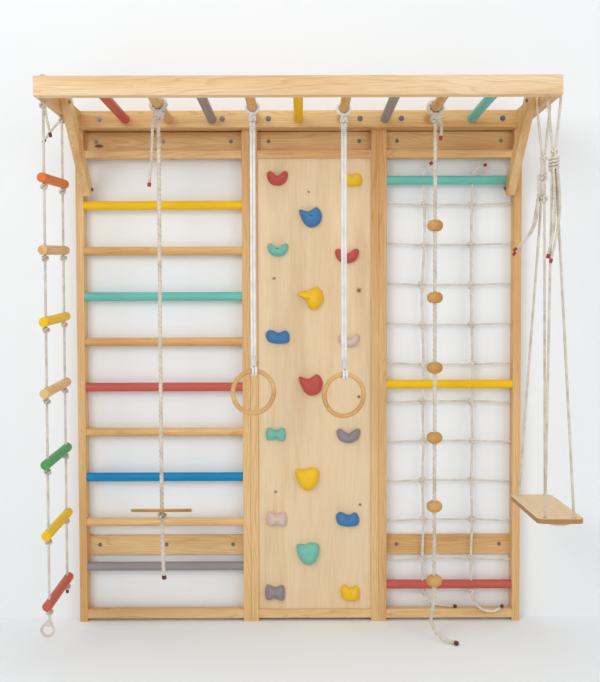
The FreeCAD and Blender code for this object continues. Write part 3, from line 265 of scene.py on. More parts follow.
def rope_material(name, light, dark, braid=False):
    """Soft cotton or polyester: fibres, grime patches, painted shade in braid grooves and a sheen at grazing
    angles.
    """
    made, tree, shader = material(name, roughness=0.9)
    fibre = fractal(tree, place(tree), 900.0, 3.0, 0.6)
    patch = fractal(tree, place(tree), 22.0, 2.0)
    tint = mix(tree, 0.5, ramp(tree, fibre, [(0.3, dark), (0.65, light)]),
               ramp(tree, patch, [(0.3, dark), (0.6, light)]))
    height = fibre
    if braid:
        uv = add(tree, "ShaderNodeSeparateXYZ", {0: add(tree, "ShaderNodeUVMap", uv_map="weave").outputs[0]})
        slants = [maths(tree, way, uv.outputs[0], uv.outputs[1]) for way in ("ADD", "SUBTRACT")]
        leans = [maths(tree, "SINE", maths(tree, "MULTIPLY", slant, WEAVE)) for slant in slants]
        crossing = maths(tree, "MULTIPLY", *leans)
        height = maths(tree, "ADD", maths(tree, "MULTIPLY", crossing, 1.2), fibre)
        # Painted shade: where the braid's bump is low, in the grooves between its yarns, the colour is
        # darkened.
        painted_groove_shade = maths(tree, "MULTIPLY", maths(tree, "SUBTRACT", 0.25, crossing), 0.35, clamp=True)
        tint = mix(tree, painted_groove_shade, tint, colour(dark))
    tree.links.new(tint, shader.inputs["Base Color"])
    shader.inputs["Sheen Weight"].default_value = 0.25
    bump(tree, shader, height, 0.0008, 0.6)
    return made


def steel(name, code="#8F8C87", roughness=0.45):
    """Zinc-plated steel: a dull grey metal with fine scratches."""
    made, tree, shader = material(name, roughness=roughness, metallic=1.0)
    scratch = fractal(tree, place(tree, (300, 300, 300)), 1.0, 3.0)
    worn = ramp(tree, scratch, [(0.3, "#8A8884"), (0.7, "#E8E7E3")])
    tree.links.new(mix(tree, 0.35, colour(code), worn, "MULTIPLY"), shader.inputs["Base Color"])
    bump(tree, shader, scratch, 0.0001, 0.3)
    return made


def moulded(name, code, fleck, pale):
    """Polyester resin with sand in it: a grainy face with darker and lighter flecks."""
    made, tree, shader = material(name, roughness=0.62)
    grit = fractal(tree, place(tree), 1300.0, 3.0, 0.7)
    sand = fractal(tree, place(tree), 380.0, 2.0, 0.5)
    cells = add(tree, "ShaderNodeTexVoronoi", {"Vector": place(tree), "Scale": 420.0}).outputs["Distance"]
    body = mix(tree, 0.5, colour(code), ramp(tree, sand, [(0.35, fleck), (0.6, code)]))
    body = mix(tree, maths(tree, "MULTIPLY", maths(tree, "LESS_THAN", cells, 0.2), 0.5), body, colour(pale))
    tree.links.new(body, shader.inputs["Base Color"])
    bump(tree, shader, maths(tree, "ADD", grit, sand), 0.0012, 0.5)
    return made


PINE = {axis: pine(f"pine_along_{axis}", axis, shift=seed)
        for axis, seed in (("x", 0.37), ("y", 1.9), ("z", 3.1))}
DOWEL = {axis: pine(f"pine_dowel_{axis}", axis, "#EDCE9C", "#CE9F68", 0.016, False, seed)
         for axis, seed in (("x", 5.3), ("y", 7.7))}
TWISTED = rope_material("twisted_cotton", "#EAE1D3", "#B9AA93")
WHITE_ROPE = rope_material("white_twisted_cotton", "#EFE7DC", "#C6B9A8")
BRAIDED = rope_material("braided_polyester", "#FDFDFC", "#DCDAD6", braid=True)
STEEL = steel("zinc_plated_steel")
TAPE_RED = painted("red_rope_tape", "#B23A30", "z", "#B23A30")
TAPE_BROWN = painted("brown_rope_tape", "#6A3320", "z", "#6A3320")
print(len(bpy.data.materials), "materials so far")

# %% [markdown]
# ### Finishes of the CAD nodes
# A CAD node keeps its mesh, and its slots get the material of the real piece. Rungs and bars are either
# clear varnished pine or satin paint, which their names say, so one small function picks the finish for all
# of them.

# %% Paint the CAD nodes
PAINTS = {"yellow": "#F9C70C", "teal": "#72C4BB", "red": "#CC5F52", "blue": "#0089C2", "grey": "#9A9295",
          "green": "#4FA35F", "orange": "#E5762F"}


def finish_node(name, made):
    """Gives every slot of a CAD node one material."""
    for slot in nodes[name].material_slots:
        slot.material = made


def finish_of(name):
    """The finish of a wooden node, from its name."""
    word = name.split("_")[0]
    grain = "y" if "monkey" in name or "ladder" in name else "x"
    if word in PAINTS:
        return painted(name + "_paint", PAINTS[word], grain)
    return DOWEL[grain]


for name in nodes:
    if name.endswith(("rung", "rungs", "bar", "bars")):
        finish_node(name, finish_of(name))
for name in ("left_panel_posts", "centre_panel_posts", "right_panel_posts", "canopy_braces"):
    finish_node(name, PINE["z"])
for name in ("panel_rails", "wall_boards", "back_beam"):
    finish_node(name, PINE["x"])
finish_node("side_beams", PINE["y"])
finish_node("front_beam", pine("pale_pine_beam", "x", "#F8E8CE", "#E2C29A", shift=0.9))
PIN_KNOTS = ((0.046, 1.946, 0.004), (-0.112, 1.559, 0.005), (0.271, 1.504, 0.008), (0.271, 1.023, 0.006),
             (-0.108, 0.591, 0.005), (0.276, 0.532, 0.005))
finish_node("climbing_board", plywood("birch_ply_board", "y", spots=PIN_KNOTS))
finish_node("disc_seat", plywood("birch_ply_disc", "z", "#DDB27A", "#C99A5F"))
finish_node("swing_seat", plywood("birch_ply_seat", "z", "#EBCB9A", "#D8B27B"))
finish_node("beads", pine("turned_beads", "z", "#DDB672", "#B2803F", 0.006, False, 2.2))
for name in ("left_ring", "right_ring"):
    finish_node(name, pine(name + "_wood", "x", "#ECCB96", "#CBA06A", 0.009, False, 4.4))
for name in ("wall_screws", "canopy_bolts", "panel_bolts", "hold_bolts", "tee_nuts"):
    finish_node(name, STEEL)
print("CAD nodes painted")

# %% [markdown]
# ## Ropes
# A rope's route is a short list of points, the same as in the CAD model. It is drawn as a NURBS spline,
# which bends as smoothly as a rope does, and the rope's mesh follows points read back from that spline. A
# round bevel would give a plain tube. Here the section has one lobe for each strand and turns as it goes,
# so each line of vertices runs along a strand.

# %% Rope tools
def spline_line(points, step=0.005):
    """Evenly spaced points along a smooth NURBS spline with the given control points."""
    curve = bpy.data.curves.new("route", "CURVE")
    curve.dimensions = "3D"
    curve.resolution_u = 24
    spline = curve.splines.new("NURBS")
    spline.points.add(len(points) - 1)
    for control, spot in zip(spline.points, points):
        control.co = (*spot, 1.0)
    spline.order_u = 3
    spline.use_endpoint_u = True
    holder = bpy.data.objects.new("route", curve)
    bpy.context.collection.objects.link(holder)
    bpy.context.view_layer.update()
    drawn = bpy.data.meshes.new_from_object(holder.evaluated_get(bpy.context.evaluated_depsgraph_get()))
    raw = [vertex.co.copy() for vertex in drawn.vertices]
    bpy.data.objects.remove(holder)
    bpy.data.curves.remove(curve)
    bpy.data.meshes.remove(drawn)
    return even(raw, step)


def even(raw, step):
    """The same line with its points a fixed distance apart."""
    total = sum((b - a).length for a, b in zip(raw, raw[1:]))
    count = max(4, round(total / step))
    line, travelled, target = [raw[0]], 0.0, total / count
    for a, b in zip(raw, raw[1:]):
        length = (b - a).length
        while length > 0 and travelled + length >= target - 1e-9 and len(line) < count:
            line.append(a.lerp(b, (target - travelled) / length))
            target += total / count
        travelled += length
    return line + [raw[-1]]


def section(diameter, strands):
    """The outline of strands laid side by side, or a plain circle for one strand."""
    radius, count = diameter / 2, 14 if strands == 1 else 18
    if strands == 1:
        angles = [math.tau * i / count for i in range(count)]
        return [(radius * math.cos(angle), radius * math.sin(angle)) for angle in angles]
    strand, centre = radius * 0.464, radius * 0.536
    outline = []
    for i in range(count):
        angle = math.tau * i / count
        off = (angle + math.pi / strands) % (math.tau / strands) - math.pi / strands
        inside = max(strand ** 2 - (centre * math.sin(off)) ** 2, 0)
        reach = max(centre * math.cos(off) + math.sqrt(inside), radius * 0.66)
        outline.append((reach * math.cos(angle), reach * math.sin(angle)))
    return outline


def sweep(bm, line, outline, twist=0.0, closed=False):
    """Carries an outline along a line without kinks, turning it by twist radians per metre."""
    uv = bm.loops.layers.uv.get("weave") or bm.loops.layers.uv.new("weave")
    count, total = len(line), sum((b - a).length for a, b in zip(line, line[1:] + line[:1] * closed))
    tangent = ((line[1] - line[-1]) if closed else (line[1] - line[0])).normalized()
    side = first = tangent.orthogonal().normalized()
    frames, gone = [], 0.0
    for i, spot in enumerate(line + line[:1] * closed):
        before = line[(i - 1) % count] if closed else line[max(i - 1, 0)]
        after = line[(i + 1) % count] if closed else line[min(i + 1, count - 1)]
        new = (after - before).normalized()
        side = (tangent.rotation_difference(new) @ side).normalized()
        tangent = new
        if i:
            gone += (spot - line[i - 1]).length
        frames.append((spot, side, tangent.cross(side), gone))
    if closed:
        _, last, up, _ = frames.pop()
        drift = math.atan2(first.dot(up), first.dot(last))
        twist = (round(twist * total / math.tau) * math.tau + drift) / total
    rings = []
    for spot, a, b, far in frames:
        c, s = math.cos(twist * far), math.sin(twist * far)
        right, up = a * c + b * s, b * c - a * s
        rings.append(([bm.verts.new(spot + right * x + up * y) for x, y in outline], far))
    pairs = list(zip(rings, rings[1:] + [(rings[0][0], total)] * closed))
    around, scale = len(outline), 1 / (math.tau * 0.006)
    for (low, v0), (high, v1) in pairs:
        for j in range(around):
            k = (j + 1) % around
            face = bm.faces.new((low[j], low[k], high[k], high[j]))
            for loop, (u, v) in zip(face.loops, ((j, v0), (j + 1, v0), (j + 1, v1), (j, v1))):
                loop[uv].uv = (u / around, v * scale)
    if not closed:
        bm.faces.new(rings[0][0][::-1])
        bm.faces.new(rings[-1][0])


def piece(name, bm, made, body, replaced=()):
    """Makes a mesh into a finished piece that rides a body and may stand for CAD nodes."""
    bmesh.ops.recalc_face_normals(bm, faces=bm.faces)
    mesh = bpy.data.meshes.new(name)
    bm.to_mesh(mesh)
    bm.free()
    mesh.polygons.foreach_set("use_smooth", [True] * len(mesh.polygons))
    mesh.materials.append(made)
    thing = bpy.data.objects.new(name, mesh)
    bpy.context.collection.objects.link(thing)
    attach(thing, body)
    if replaced:
        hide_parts(*replaced)
    return thing


def twist_of(diameter, strands=3):
    """How fast strands turn, in radians per metre. A braided cord is drawn as one strand and doesn't turn."""
    return 0.0 if strands == 1 else math.tau / (diameter * LAY)


def lay_rope(bm, points, diameter, strands=3):
    """Adds one rope to a mesh and returns the line that it follows."""
    line = spline_line(points)
    sweep(bm, line, section(diameter, strands), twist_of(diameter, strands))
    return line


def length_of(line):
    return sum((b - a).length for a, b in zip(line, line[1:]))


def overhand(bm, centre, radius, diameter, axis=(0, 0, 1), turn=0.0, strands=3):
    """A tight knot: rope wound in a trefoil that fills a ball of the given radius."""
    facing = Vector((0, 0, 1)).rotation_difference(Vector(axis)).to_matrix() @ Matrix.Rotation(turn, 3, "Z")
    wide, lobe = (radius - diameter / 2) * 0.62, (radius - diameter / 2) * 0.42
    line = []
    for i in range(60):
        t = math.tau * i / 60
        reach = wide + lobe * math.cos(3 * t)
        line.append(Vector(centre) + facing @ Vector((reach * math.cos(2 * t), reach * math.sin(2 * t),
                                                      lobe * 1.5 * math.sin(3 * t))))
    sweep(bm, line, section(diameter, strands), twist_of(diameter, strands), closed=True)


def coil(bm, centre, radius, height, diameter, turns, axis=(0, 0, 1), strands=3):
    """Rope wound round something: a helix about an axis through its centre."""
    facing = Vector((0, 0, 1)).rotation_difference(Vector(axis)).to_matrix()
    count = int(turns * 26)
    line = []
    for i in range(count + 1):
        t = math.tau * turns * i / count
        rise = height * (i / count - 0.5)
        line.append(Vector(centre) + facing @ Vector((radius * math.cos(t), radius * math.sin(t), rise)))
    sweep(bm, line, section(diameter, strands), twist_of(diameter, strands))


def tip(name, line, diameter, made, body, length=0.016):
    """The taped end of a rope: a short sleeve with a rounded edge over the last stretch of the line."""
    bm = bmesh.new()
    end, back = line[-1], line[-1]
    for spot in reversed(line):
        back = spot
        if (end - spot).length > length:
            break
    run = (end - back).normalized()
    radius = diameter / 2 + 0.0008
    profile = ((-length, 0.0001), (-length, radius * 0.94), (-length * 0.9, radius), (-0.002, radius),
               (0.0005, radius * 0.8), (0.001, 0.0001))
    side = run.orthogonal().normalized()
    up = run.cross(side)
    rings = []
    for rise, reach in profile:
        rings.append([bm.verts.new(end + run * rise + (side * math.cos(a) + up * math.sin(a)) * reach)
                      for a in (math.tau * i / 16 for i in range(16))])
    for low, high in zip(rings, rings[1:]):
        for j in range(16):
            bm.faces.new((low[j], low[(j + 1) % 16], high[(j + 1) % 16], high[j]))
    bm.faces.new(rings[0])
    bm.faces.new(rings[-1])
    return piece(name, bm, made, body)


def free_rope(name, points, diameter, body, made=None, tape=None, replaced=(), extras=(),
              strands=3):
    """A cord: its mesh and its taped end. extras, what is tied in it, is not used."""
    bm = bmesh.new()
    line = lay_rope(bm, points, diameter, strands)
    rope = piece(name, bm, made or TWISTED, body, replaced)
    pieces = list(extras)
    if tape:
        pieces.append(tip(name + "_end", line, diameter, tape, body))
    return line


print("rope tools ready")

# %% [markdown]
# ## Camera, floor and light
# The camera stands almost four metres in front of the wall and 1.4 metres up, and looks down by two
# degrees. The room is a pale wall and floor with three soft area lights and an even white sky, as in a
# catalogue. Its wall is drawn on one side only, so that the unit can be looked at from behind. It stands
# close behind the unit, so it keeps light off the unit's back.

# %% Camera and studio
camera_data = bpy.data.cameras.new("camera")
camera_data.sensor_fit = "HORIZONTAL"
camera_data.sensor_width = 36
camera_data.lens = 51.62
camera = bpy.data.objects.new("camera", camera_data)
bpy.context.collection.objects.link(camera)
camera.location = (0.006, -3.933, 1.406)
aim = Matrix.Rotation(math.radians(0.02), 4, "Z") @ Matrix.Rotation(math.radians(90 - 1.91), 4, "X")
camera.matrix_world = Matrix.Translation(camera.location) @ aim @ Matrix.Rotation(math.radians(-0.15), 4, "Z")
bpy.context.scene.camera = camera


def stage_material(name, code, one_sided=False):
    made, tree, shader = material(name, roughness=0.85)
    shader.inputs["Base Color"].default_value = colour(code)
    if one_sided:
        clear = add(tree, "ShaderNodeBsdfTransparent")
        back = add(tree, "ShaderNodeNewGeometry").outputs["Backfacing"]
        joint = add(tree, "ShaderNodeMixShader", {0: back, 1: shader.outputs[0], 2: clear.outputs[0]})
        tree.links.new(joint.outputs[0], tree.nodes["Material Output"].inputs["Surface"])
    return made


def stage_plane(name, corners, made):
    """One flat piece of the room, which isn't part of the object."""
    mesh = bpy.data.meshes.new(name)
    mesh.from_pydata(corners, [], [(0, 1, 2, 3)])
    mesh.materials.append(made)
    thing = bpy.data.objects.new(name, mesh)
    bpy.context.collection.objects.link(thing)


ROOM, WALL_Y, WALL_TOP = 8, 0.0005, 6
stage_plane("floor", ((-ROOM, -ROOM, 0), (ROOM, -ROOM, 0), (ROOM, ROOM, 0), (-ROOM, ROOM, 0)),
            stage_material("pale_floor", "#F3F7FA"))
wall_corners = ((-ROOM, WALL_Y, 0), (ROOM, WALL_Y, 0), (ROOM, WALL_Y, WALL_TOP), (-ROOM, WALL_Y, WALL_TOP))
stage_plane("room_wall", wall_corners, stage_material("pale_wall", "#F2F4F5", one_sided=True))


def area_light(name, spot, target, width, power):
    """A square light that faces its target."""
    lamp = bpy.data.lights.new(name, "AREA")
    lamp.energy, lamp.size = power, width
    thing = bpy.data.objects.new(name, lamp)
    thing.location = spot
    thing.rotation_euler = (Vector(target) - Vector(spot)).to_track_quat("-Z", "Y").to_euler()
    bpy.context.collection.objects.link(thing)


area_light("key", (-2.4, -4.6, 3.4), (0, 0, 1.1), 2.4, 88)
area_light("fill", (3.4, -3.8, 2.2), (0, 0, 1.0), 3.4, 46)
area_light("overhead", (0, -1.8, 4.8), (0, -0.4, 0), 3.0, 26)
world = bpy.data.worlds.new("studio")
world.use_nodes = True
world.node_tree.nodes["Background"].inputs[0].default_value = colour("#FFFFFF")
world.node_tree.nodes["Background"].inputs[1].default_value = 0.5
bpy.context.scene.world = world
bpy.context.scene.view_settings.view_transform = "Standard"
print("camera and light ready")

# %% [markdown]
# ## Hanging ropes
# A double hitch of thick rope goes round the monkey bar. Its knot carries the rope, and its spare end hangs
# beside it. A knot could be tied as one long route, but that is hard to keep from cutting into itself. So
# two turns of a coil make the hitch, and an overhand inside a second coil makes its knot, which shows rope
# on every side. Each bead rests on a collar of thin cord wound round the rope.

# %% Disc swing and bead rope
def hitch(name, x, y, diameter, body, strands=3, made=None, knot_size=0.0215):
    """Two turns of rope round a monkey bar and the knot below it."""
    bm = bmesh.new()
    gap = diameter * 1.04
    coil(bm, (x, y, BAR_Z), BAR_RADIUS + 0.0003 + diameter / 2, 2 * gap, diameter, 2.0, (0, 1, 0), strands)
    overhand(bm, (x, y, KNOT_Z), knot_size, diameter * 0.86, (0.3, 1, 0.2), 0.4, strands)
    if strands > 1:
        coil(bm, (x, y, KNOT_Z + 0.001), 0.0165, 0.019, diameter * 0.86, 2.2, (0.16, 0.1, 1), strands)
    return piece(name, bm, made or TWISTED, body, (name,))


def knots_on(name, places, radius, diameter, made, body, axis=(0, 0, 1)):
    """A row of overhand knots as one piece, each turned a little from the last."""
    bm = bmesh.new()
    for i, spot in enumerate(places):
        overhand(bm, spot, radius, diameter, axis, 1.7 * i)
    return piece(name, bm, made, body)


x, y = -3 * BAR_PITCH, -0.36
hitch("disc_hitch", x, y, THICK, "disc_hitch")
free_rope("disc_hitch_spare_end",
          [(x - 0.006, y - 0.004, KNOT_Z), (x - 0.024, y - 0.012, KNOT_Z - 0.028),
           (x - 0.024, y - 0.009, KNOT_Z - 0.095), (x - 0.03, y - 0.004, KNOT_Z - 0.19),
           (x - 0.041, y, KNOT_Z - 0.292)], THICK * 0.8, "disc_hitch", tape=TAPE_RED)
disc_knot = knots_on("disc_knot", [(x, y, 0.5545)], 0.0215, 0.0145, TWISTED, "disc_swing")
disc_line = free_rope("disc_rope",
                      [(x, y, PIVOT_Z + 0.012), (x, y, PIVOT_Z - 0.1), (x, y, 0.519), (x + 0.005, y, 0.429),
                       (x + 0.003, y + 0.003, 0.359), (x + 0.009, y, 0.289)], THICK, "disc_swing",
                      tape=TAPE_BROWN, replaced=("disc_rope",), extras=(disc_knot, "disc_seat"))

x, y = 3 * BAR_PITCH, -0.29
hitch("bead_hitch", x, y, THICK, "bead_hitch")
free_rope("bead_hitch_spare_end",
          [(x + 0.006, y - 0.002, KNOT_Z), (x + 0.026, y - 0.006, KNOT_Z - 0.02),
           (x + 0.025, y - 0.008, KNOT_Z - 0.052), (x + 0.02, y - 0.01, KNOT_Z - 0.092)],
          THICK * 0.8, "bead_hitch", tape=TAPE_RED)
bm = bmesh.new()
for rise in (0, 0.32, 0.614, 0.912, 1.209, 1.512):
    coil(bm, (x, y, 0.2305 + rise), THICK / 2 + 0.0004, 0.0045, 0.0028, 3, strands=1)
bead_stops = piece("bead_stops", bm, TWISTED, "bead_rope")
bead_line = free_rope("bead_rope",
                      [(x, y, PIVOT_Z + 0.012), (x, y, PIVOT_Z - 0.1), (x, y, 0.213),
                       (x - 0.002, y - 0.002, 0.157), (x - 0.014, y - 0.002, 0.116),
                       (x - 0.013, y - 0.003, 0.077), (x + 0.006, y - 0.01, 0.037),
                       (x + 0.03, y - 0.025, 0.02), (x + 0.06, y - 0.044, 0.0105),
                       (x + 0.092, y - 0.062, 0.0092)], THICK, "bead_rope", tape=TAPE_BROWN,
                      replaced=("bead_rope",), extras=(bead_stops, "beads"))
print("disc rope", round(length_of(disc_line), 3), "m, bead rope", round(length_of(bead_line), 3), "m")

# %% [markdown]
# ### Gym rings
# A strap is one braided cord doubled over: a wrapped loop on the bar, two strands side by side, a whipped
# neck and two turns round the wooden ring. The turns are plain closed sweeps, as a braided cord has no
# strands to show, and the whippings are coils of thin cord.

# %% Ring straps
def ring_strap(side, x, y, top):
    """One gym ring's strap, from the loop on the bar to the turns round the ring."""
    loop, strap = f"{side}_ring_loop", f"{side}_ring_strap"
    hitch(loop, x, y, STRAND, loop, 1, BRAIDED, 0.0185)
    turn = math.radians(18)
    along_ring = Vector((math.cos(turn), math.sin(turn), 0))
    bm = bmesh.new()
    for shift in (-0.0065, 0.0065):
        centre = Vector((x, y, top)) + along_ring * shift
        out = Vector((0, 0, 1)).cross(along_ring)
        circle = [centre + (out * math.cos(a) + Vector((0, 0, 1)) * math.sin(a)) * 0.017
                  for a in (math.tau * i / 32 for i in range(32))]
        sweep(bm, circle, section(STRAND, 1), closed=True)
    turns = piece(f"{side}_ring_turns", bm, BRAIDED, strap, (strap,))
    bm = bmesh.new()
    coil(bm, (x, y, top + 0.042), 0.0112, 0.04, 0.0036, 11, strands=1)
    coil(bm, (x, y, PIVOT_Z - 0.016), 0.0112, 0.02, 0.0036, 6, strands=1)
    whipping = piece(f"{side}_strap_whipping", bm, BRAIDED, strap)
    for name, shift in (("left", -0.0062), ("right", 0.0062)):
        route = [(x + shift, y, PIVOT_Z + 0.012), (x + shift, y, PIVOT_Z - 0.07), (x + shift, y, top + 0.1),
                 (x + shift, y, top + 0.019)]
        free_rope(f"{side}_strap_{name}_strand", route, STRAND, strap, BRAIDED,
                  extras=(turns, whipping) if name == "left" else (), strands=1)


ring_strap("left", -BAR_PITCH, -0.31, 1.159)
ring_strap("right", BAR_PITCH, -0.28, 1.142)
print("two ring straps")

# %% [markdown]
# ### Rope ladder
# Two ropes come out of holes in the side beam, with a stopper knot on top and a knot under every rung. The
# rungs lean a little, so the front rope's knots sit lower than the rear rope's by the same slope. All the
# knots of one rope are one piece, as they move together. One rope ends in a small loop and the other in a
# taped end.

# %% Rope ladder
x = -HALF_WIDTH + 0.0175
TILT = 0.13 * math.tan(math.radians(3.8))
LADDER_ROPES = (
    ("front", -0.59, -TILT, 0.185,
     ((0.004, -0.59, 2.205), (0.012, -0.591, 2.165), (0.02, -0.59, 2.125), (0.027, -0.588, 2.085))),
    ("rear", -0.33, TILT, 0.222,
     ((-0.006, -0.33, 2.205), (-0.028, -0.336, 2.18), (-0.05, -0.344, 2.148), (-0.074, -0.35, 2.11))),
)
for name, y, rise, end, tail in LADDER_ROPES:
    spots = [(x, y, 0.272 + 0.2773 * i + rise - 0.0325) for i in range(7)] + [(x, y, 2.205)]
    knots = knots_on(f"ladder_{name}_knots", spots, TIGHT_KNOT, TIGHT_STRAND, TWISTED, "rope_ladder")
    pieces = [knots]
    if name == "front":
        bm = bmesh.new()
        circle = [Vector((x - 0.008 + 0.024 * math.cos(a), y, 0.16 + 0.024 * math.sin(a)))
                  for a in (math.tau * i / 40 for i in range(40))]
        sweep(bm, circle, section(THIN, 3), twist_of(THIN), closed=True)
        overhand(bm, (x - 0.002, y, 0.187), 0.0145, 0.0105, (0, 1, 0))
        pieces.append(piece("ladder_foot_loop", bm, TWISTED, "rope_ladder"))
    free_rope(f"ladder_{name}_rope", [(x, y, 2.219), (x, y, 2.14), (x, y, end + 0.07), (x, y, end)], THIN,
              "rope_ladder",
              tape=None if name == "front" else TAPE_BROWN,
              replaced=("ladder_ropes",), extras=pieces)
    spare = [(x + dx, tail_y, z) for dx, tail_y, z in tail]
    free_rope(f"ladder_{name}_spare_end", spare, THIN, "rope_ladder", tape=TAPE_BROWN)

# Rope through the beam, and its stopper knots. The next cell adds the board swing's loops to this mesh.
bm = bmesh.new()
for y in (-0.59, -0.33):
    lay_rope(bm, [(x, y, 2.2225), (x, y, 2.25), (x, y, 2.29), (x, y, 2.306)], THIN)
    overhand(bm, (x, y, 2.3125), TIGHT_KNOT, TIGHT_STRAND, (0, 0, 1), y)
print("rope ladder")

# %% [markdown]
# ### Board swing
# Loops of rope lie over the right beam. Below them one rope goes down each end of the seat, through a hole,
# under the board and up again. The front pair is gathered in a long wrapped knot; the rear pair has two
# knots. The loops don't move, so they ride the frame, and everything below the pivot rides the swing. The
# spare ends are routes of their own, given as steps from the middle of the rope.

# %% Board swing
x = HALF_WIDTH - 0.0175
for y in (-0.605, -0.46):
    half = [(0.0065, 2.037), (0.0145, 2.12), (0.0245, 2.205), (0.0245, 2.25), (0.0245, 2.302), (0.019, 2.307)]
    left_leg = [(x - dx, y, z) for dx, z in half]
    right_leg = [(x + dx, y, z) for dx, z in reversed(half)]
    lay_rope(bm, left_leg + right_leg, THIN)
piece("beam_ropes", bm, TWISTED, "frame", ("beam_loops",))

SEAT_UNDER, SEAT_MIDDLE = 0.602, 0.62
for name, y, hole, start in (("front", -0.605, -0.71, 1.992), ("rear", -0.46, -0.32, 1.857)):
    onward = 1 + (SEAT_MIDDLE - SEAT_UNDER) / (start - SEAT_MIDDLE)
    reach, y_under = 0.006 + 0.049 * onward, y + (hole - y) * onward
    share = 0.07 / (start - SEAT_UNDER)
    near_x, near_y = reach + (0.006 - reach) * share, y_under + (y - y_under) * share
    kbm = bmesh.new()
    if name == "front":
        coil(kbm, (x, y, 1.975), 0.016, 0.055, THIN, 4.3)
        overhand(kbm, (x, y, 1.946), TIGHT_KNOT, TIGHT_STRAND, (0.2, 1, 0), 1.1)
        overhand(kbm, (x, y, 2.02), TIGHT_KNOT, TIGHT_STRAND, (0, 1, 0))
    else:
        overhand(kbm, (x, y, 1.861), LOOSE_KNOT, LOOSE_STRAND, (0.2, 1, 0), 2.1)
    knots = piece(f"swing_{name}_knots", kbm, TWISTED, "board_swing")
    free_rope(f"swing_{name}_rope", [(x - 0.006, y, start), (x - near_x, near_y, SEAT_UNDER + 0.07),
                                     (x - reach, y_under, SEAT_UNDER), (x + reach, y_under, SEAT_UNDER),
                                     (x + near_x, near_y, SEAT_UNDER + 0.07), (x + 0.006, y, start)],
              THIN, "board_swing", replaced=("swing_ropes",), extras=(knots,))
y = -0.46
kbm = bmesh.new()
overhand(kbm, (x, y, 2.021), TIGHT_KNOT, TIGHT_STRAND, (0, 1, 0))
overhand(kbm, (x, y, 1.949), LOOSE_KNOT, LOOSE_STRAND, (0.2, 1, 0), 0.8)
upper_knots = piece("swing_upper_knots", kbm, TWISTED, "board_swing")
for name, shift in (("left", -0.0063), ("right", 0.0063)):
    free_rope(f"swing_rear_{name}_leg", [(x + shift, y, 2.022), (x + shift, y, 1.98), (x + shift, y, 1.9),
                                         (x + shift, y, 1.861)], THIN, "board_swing",
              extras=(upper_knots,) if name == "left" else ())
top = 2.022
# Each spare end: the Y of its knot, then X and Y from the knot's line and Z from the pivot
SPARE_ENDS = (
    (-0.46, ((-0.018, -0.002, -0.073), (-0.022, -0.008, -0.16), (-0.024, -0.014, -0.235),
             (-0.048, -0.014, -0.3), (-0.082, -0.012, -0.335), (-0.119, -0.01, -0.372))),
    (-0.46, ((-0.02, 0.004, -0.161), (-0.027, 0.01, -0.215), (-0.034, 0.014, -0.27),
             (-0.056, 0.016, -0.312), (-0.084, 0.017, -0.348), (-0.115, 0.018, -0.388))),
    (-0.605, ((-0.006, -0.016, -0.066), (-0.004, -0.023, -0.15), (-0.002, -0.032, -0.262),
              (-0.018, -0.04, -0.345), (-0.033, -0.037, -0.412))),
    (-0.605, ((0.008, -0.016, -0.066), (0.018, -0.024, -0.15), (0.011, -0.04, -0.262),
              (-0.005, -0.045, -0.35), (-0.024, -0.047, -0.43))),
)
for i, (y, offsets) in enumerate(SPARE_ENDS, 1):
    spare = [(x + dx, y + dy, top + dz) for dx, dy, dz in offsets]
    free_rope(f"swing_spare_end_{i}", spare, THIN, "board_swing", tape=TAPE_RED,
              replaced=("swing_tails",) if i == 1 else ())
print("board swing")

# %% [markdown]
# ### Climbing net
# Two upright ropes go through the three bars, and ten thinner cross ropes go into the posts. They are
# knotted where they cross: an overhand with a short coil over it. The net could be cloth that is left to
# hang, but it is stretched tight, so a few points on each route draw its small pulls and wanders. All the
# knots share one mesh, as they share one body.

# %% Climbing net
FIRST_ROW, ROW_PITCH, ROWS = 0.272, 0.1805, 10
UPRIGHT_Y, CROSS_Y = -0.038, -0.026
TOP_TAILS = (
    ((0.001, 2.035), (0.014, 2.057), (0.04, 2.079)),
    ((0.001, 2.033), (0.024, 2.055), (0.062, 2.069)),
)
BOTTOM_TAILS = (
    ((0.155, -0.044, 0.062), (0.075, -0.04, 0.066), (0.028, -0.036, 0.084), (0.001, -0.038, 0.112)),
    ((0.14, -0.066, 0.074), (0.114, -0.07, 0.052), (0.078, -0.072, 0.046), (0.04, -0.07, 0.056),
     (0.012, -0.058, 0.084), (0.001, -0.038, 0.112)),
)
# How far each knot sits to the right of its upright's line, from the lowest row up
WANDER = ((-0.003, 0.004, -0.003, 0.004, -0.003, 0.004, -0.003, -0.008, 0.007, 0.005),
          (-0.003, 0.004, -0.003, 0.004, -0.003, 0.004, -0.003, -0.006, -0.006, -0.005))


def row_height(row):
    """Where a cross rope leaves the posts, and how far its knots pull it up or down."""
    return FIRST_ROW + ROW_PITCH * row, 0.007 if row < ROWS // 2 else -0.007


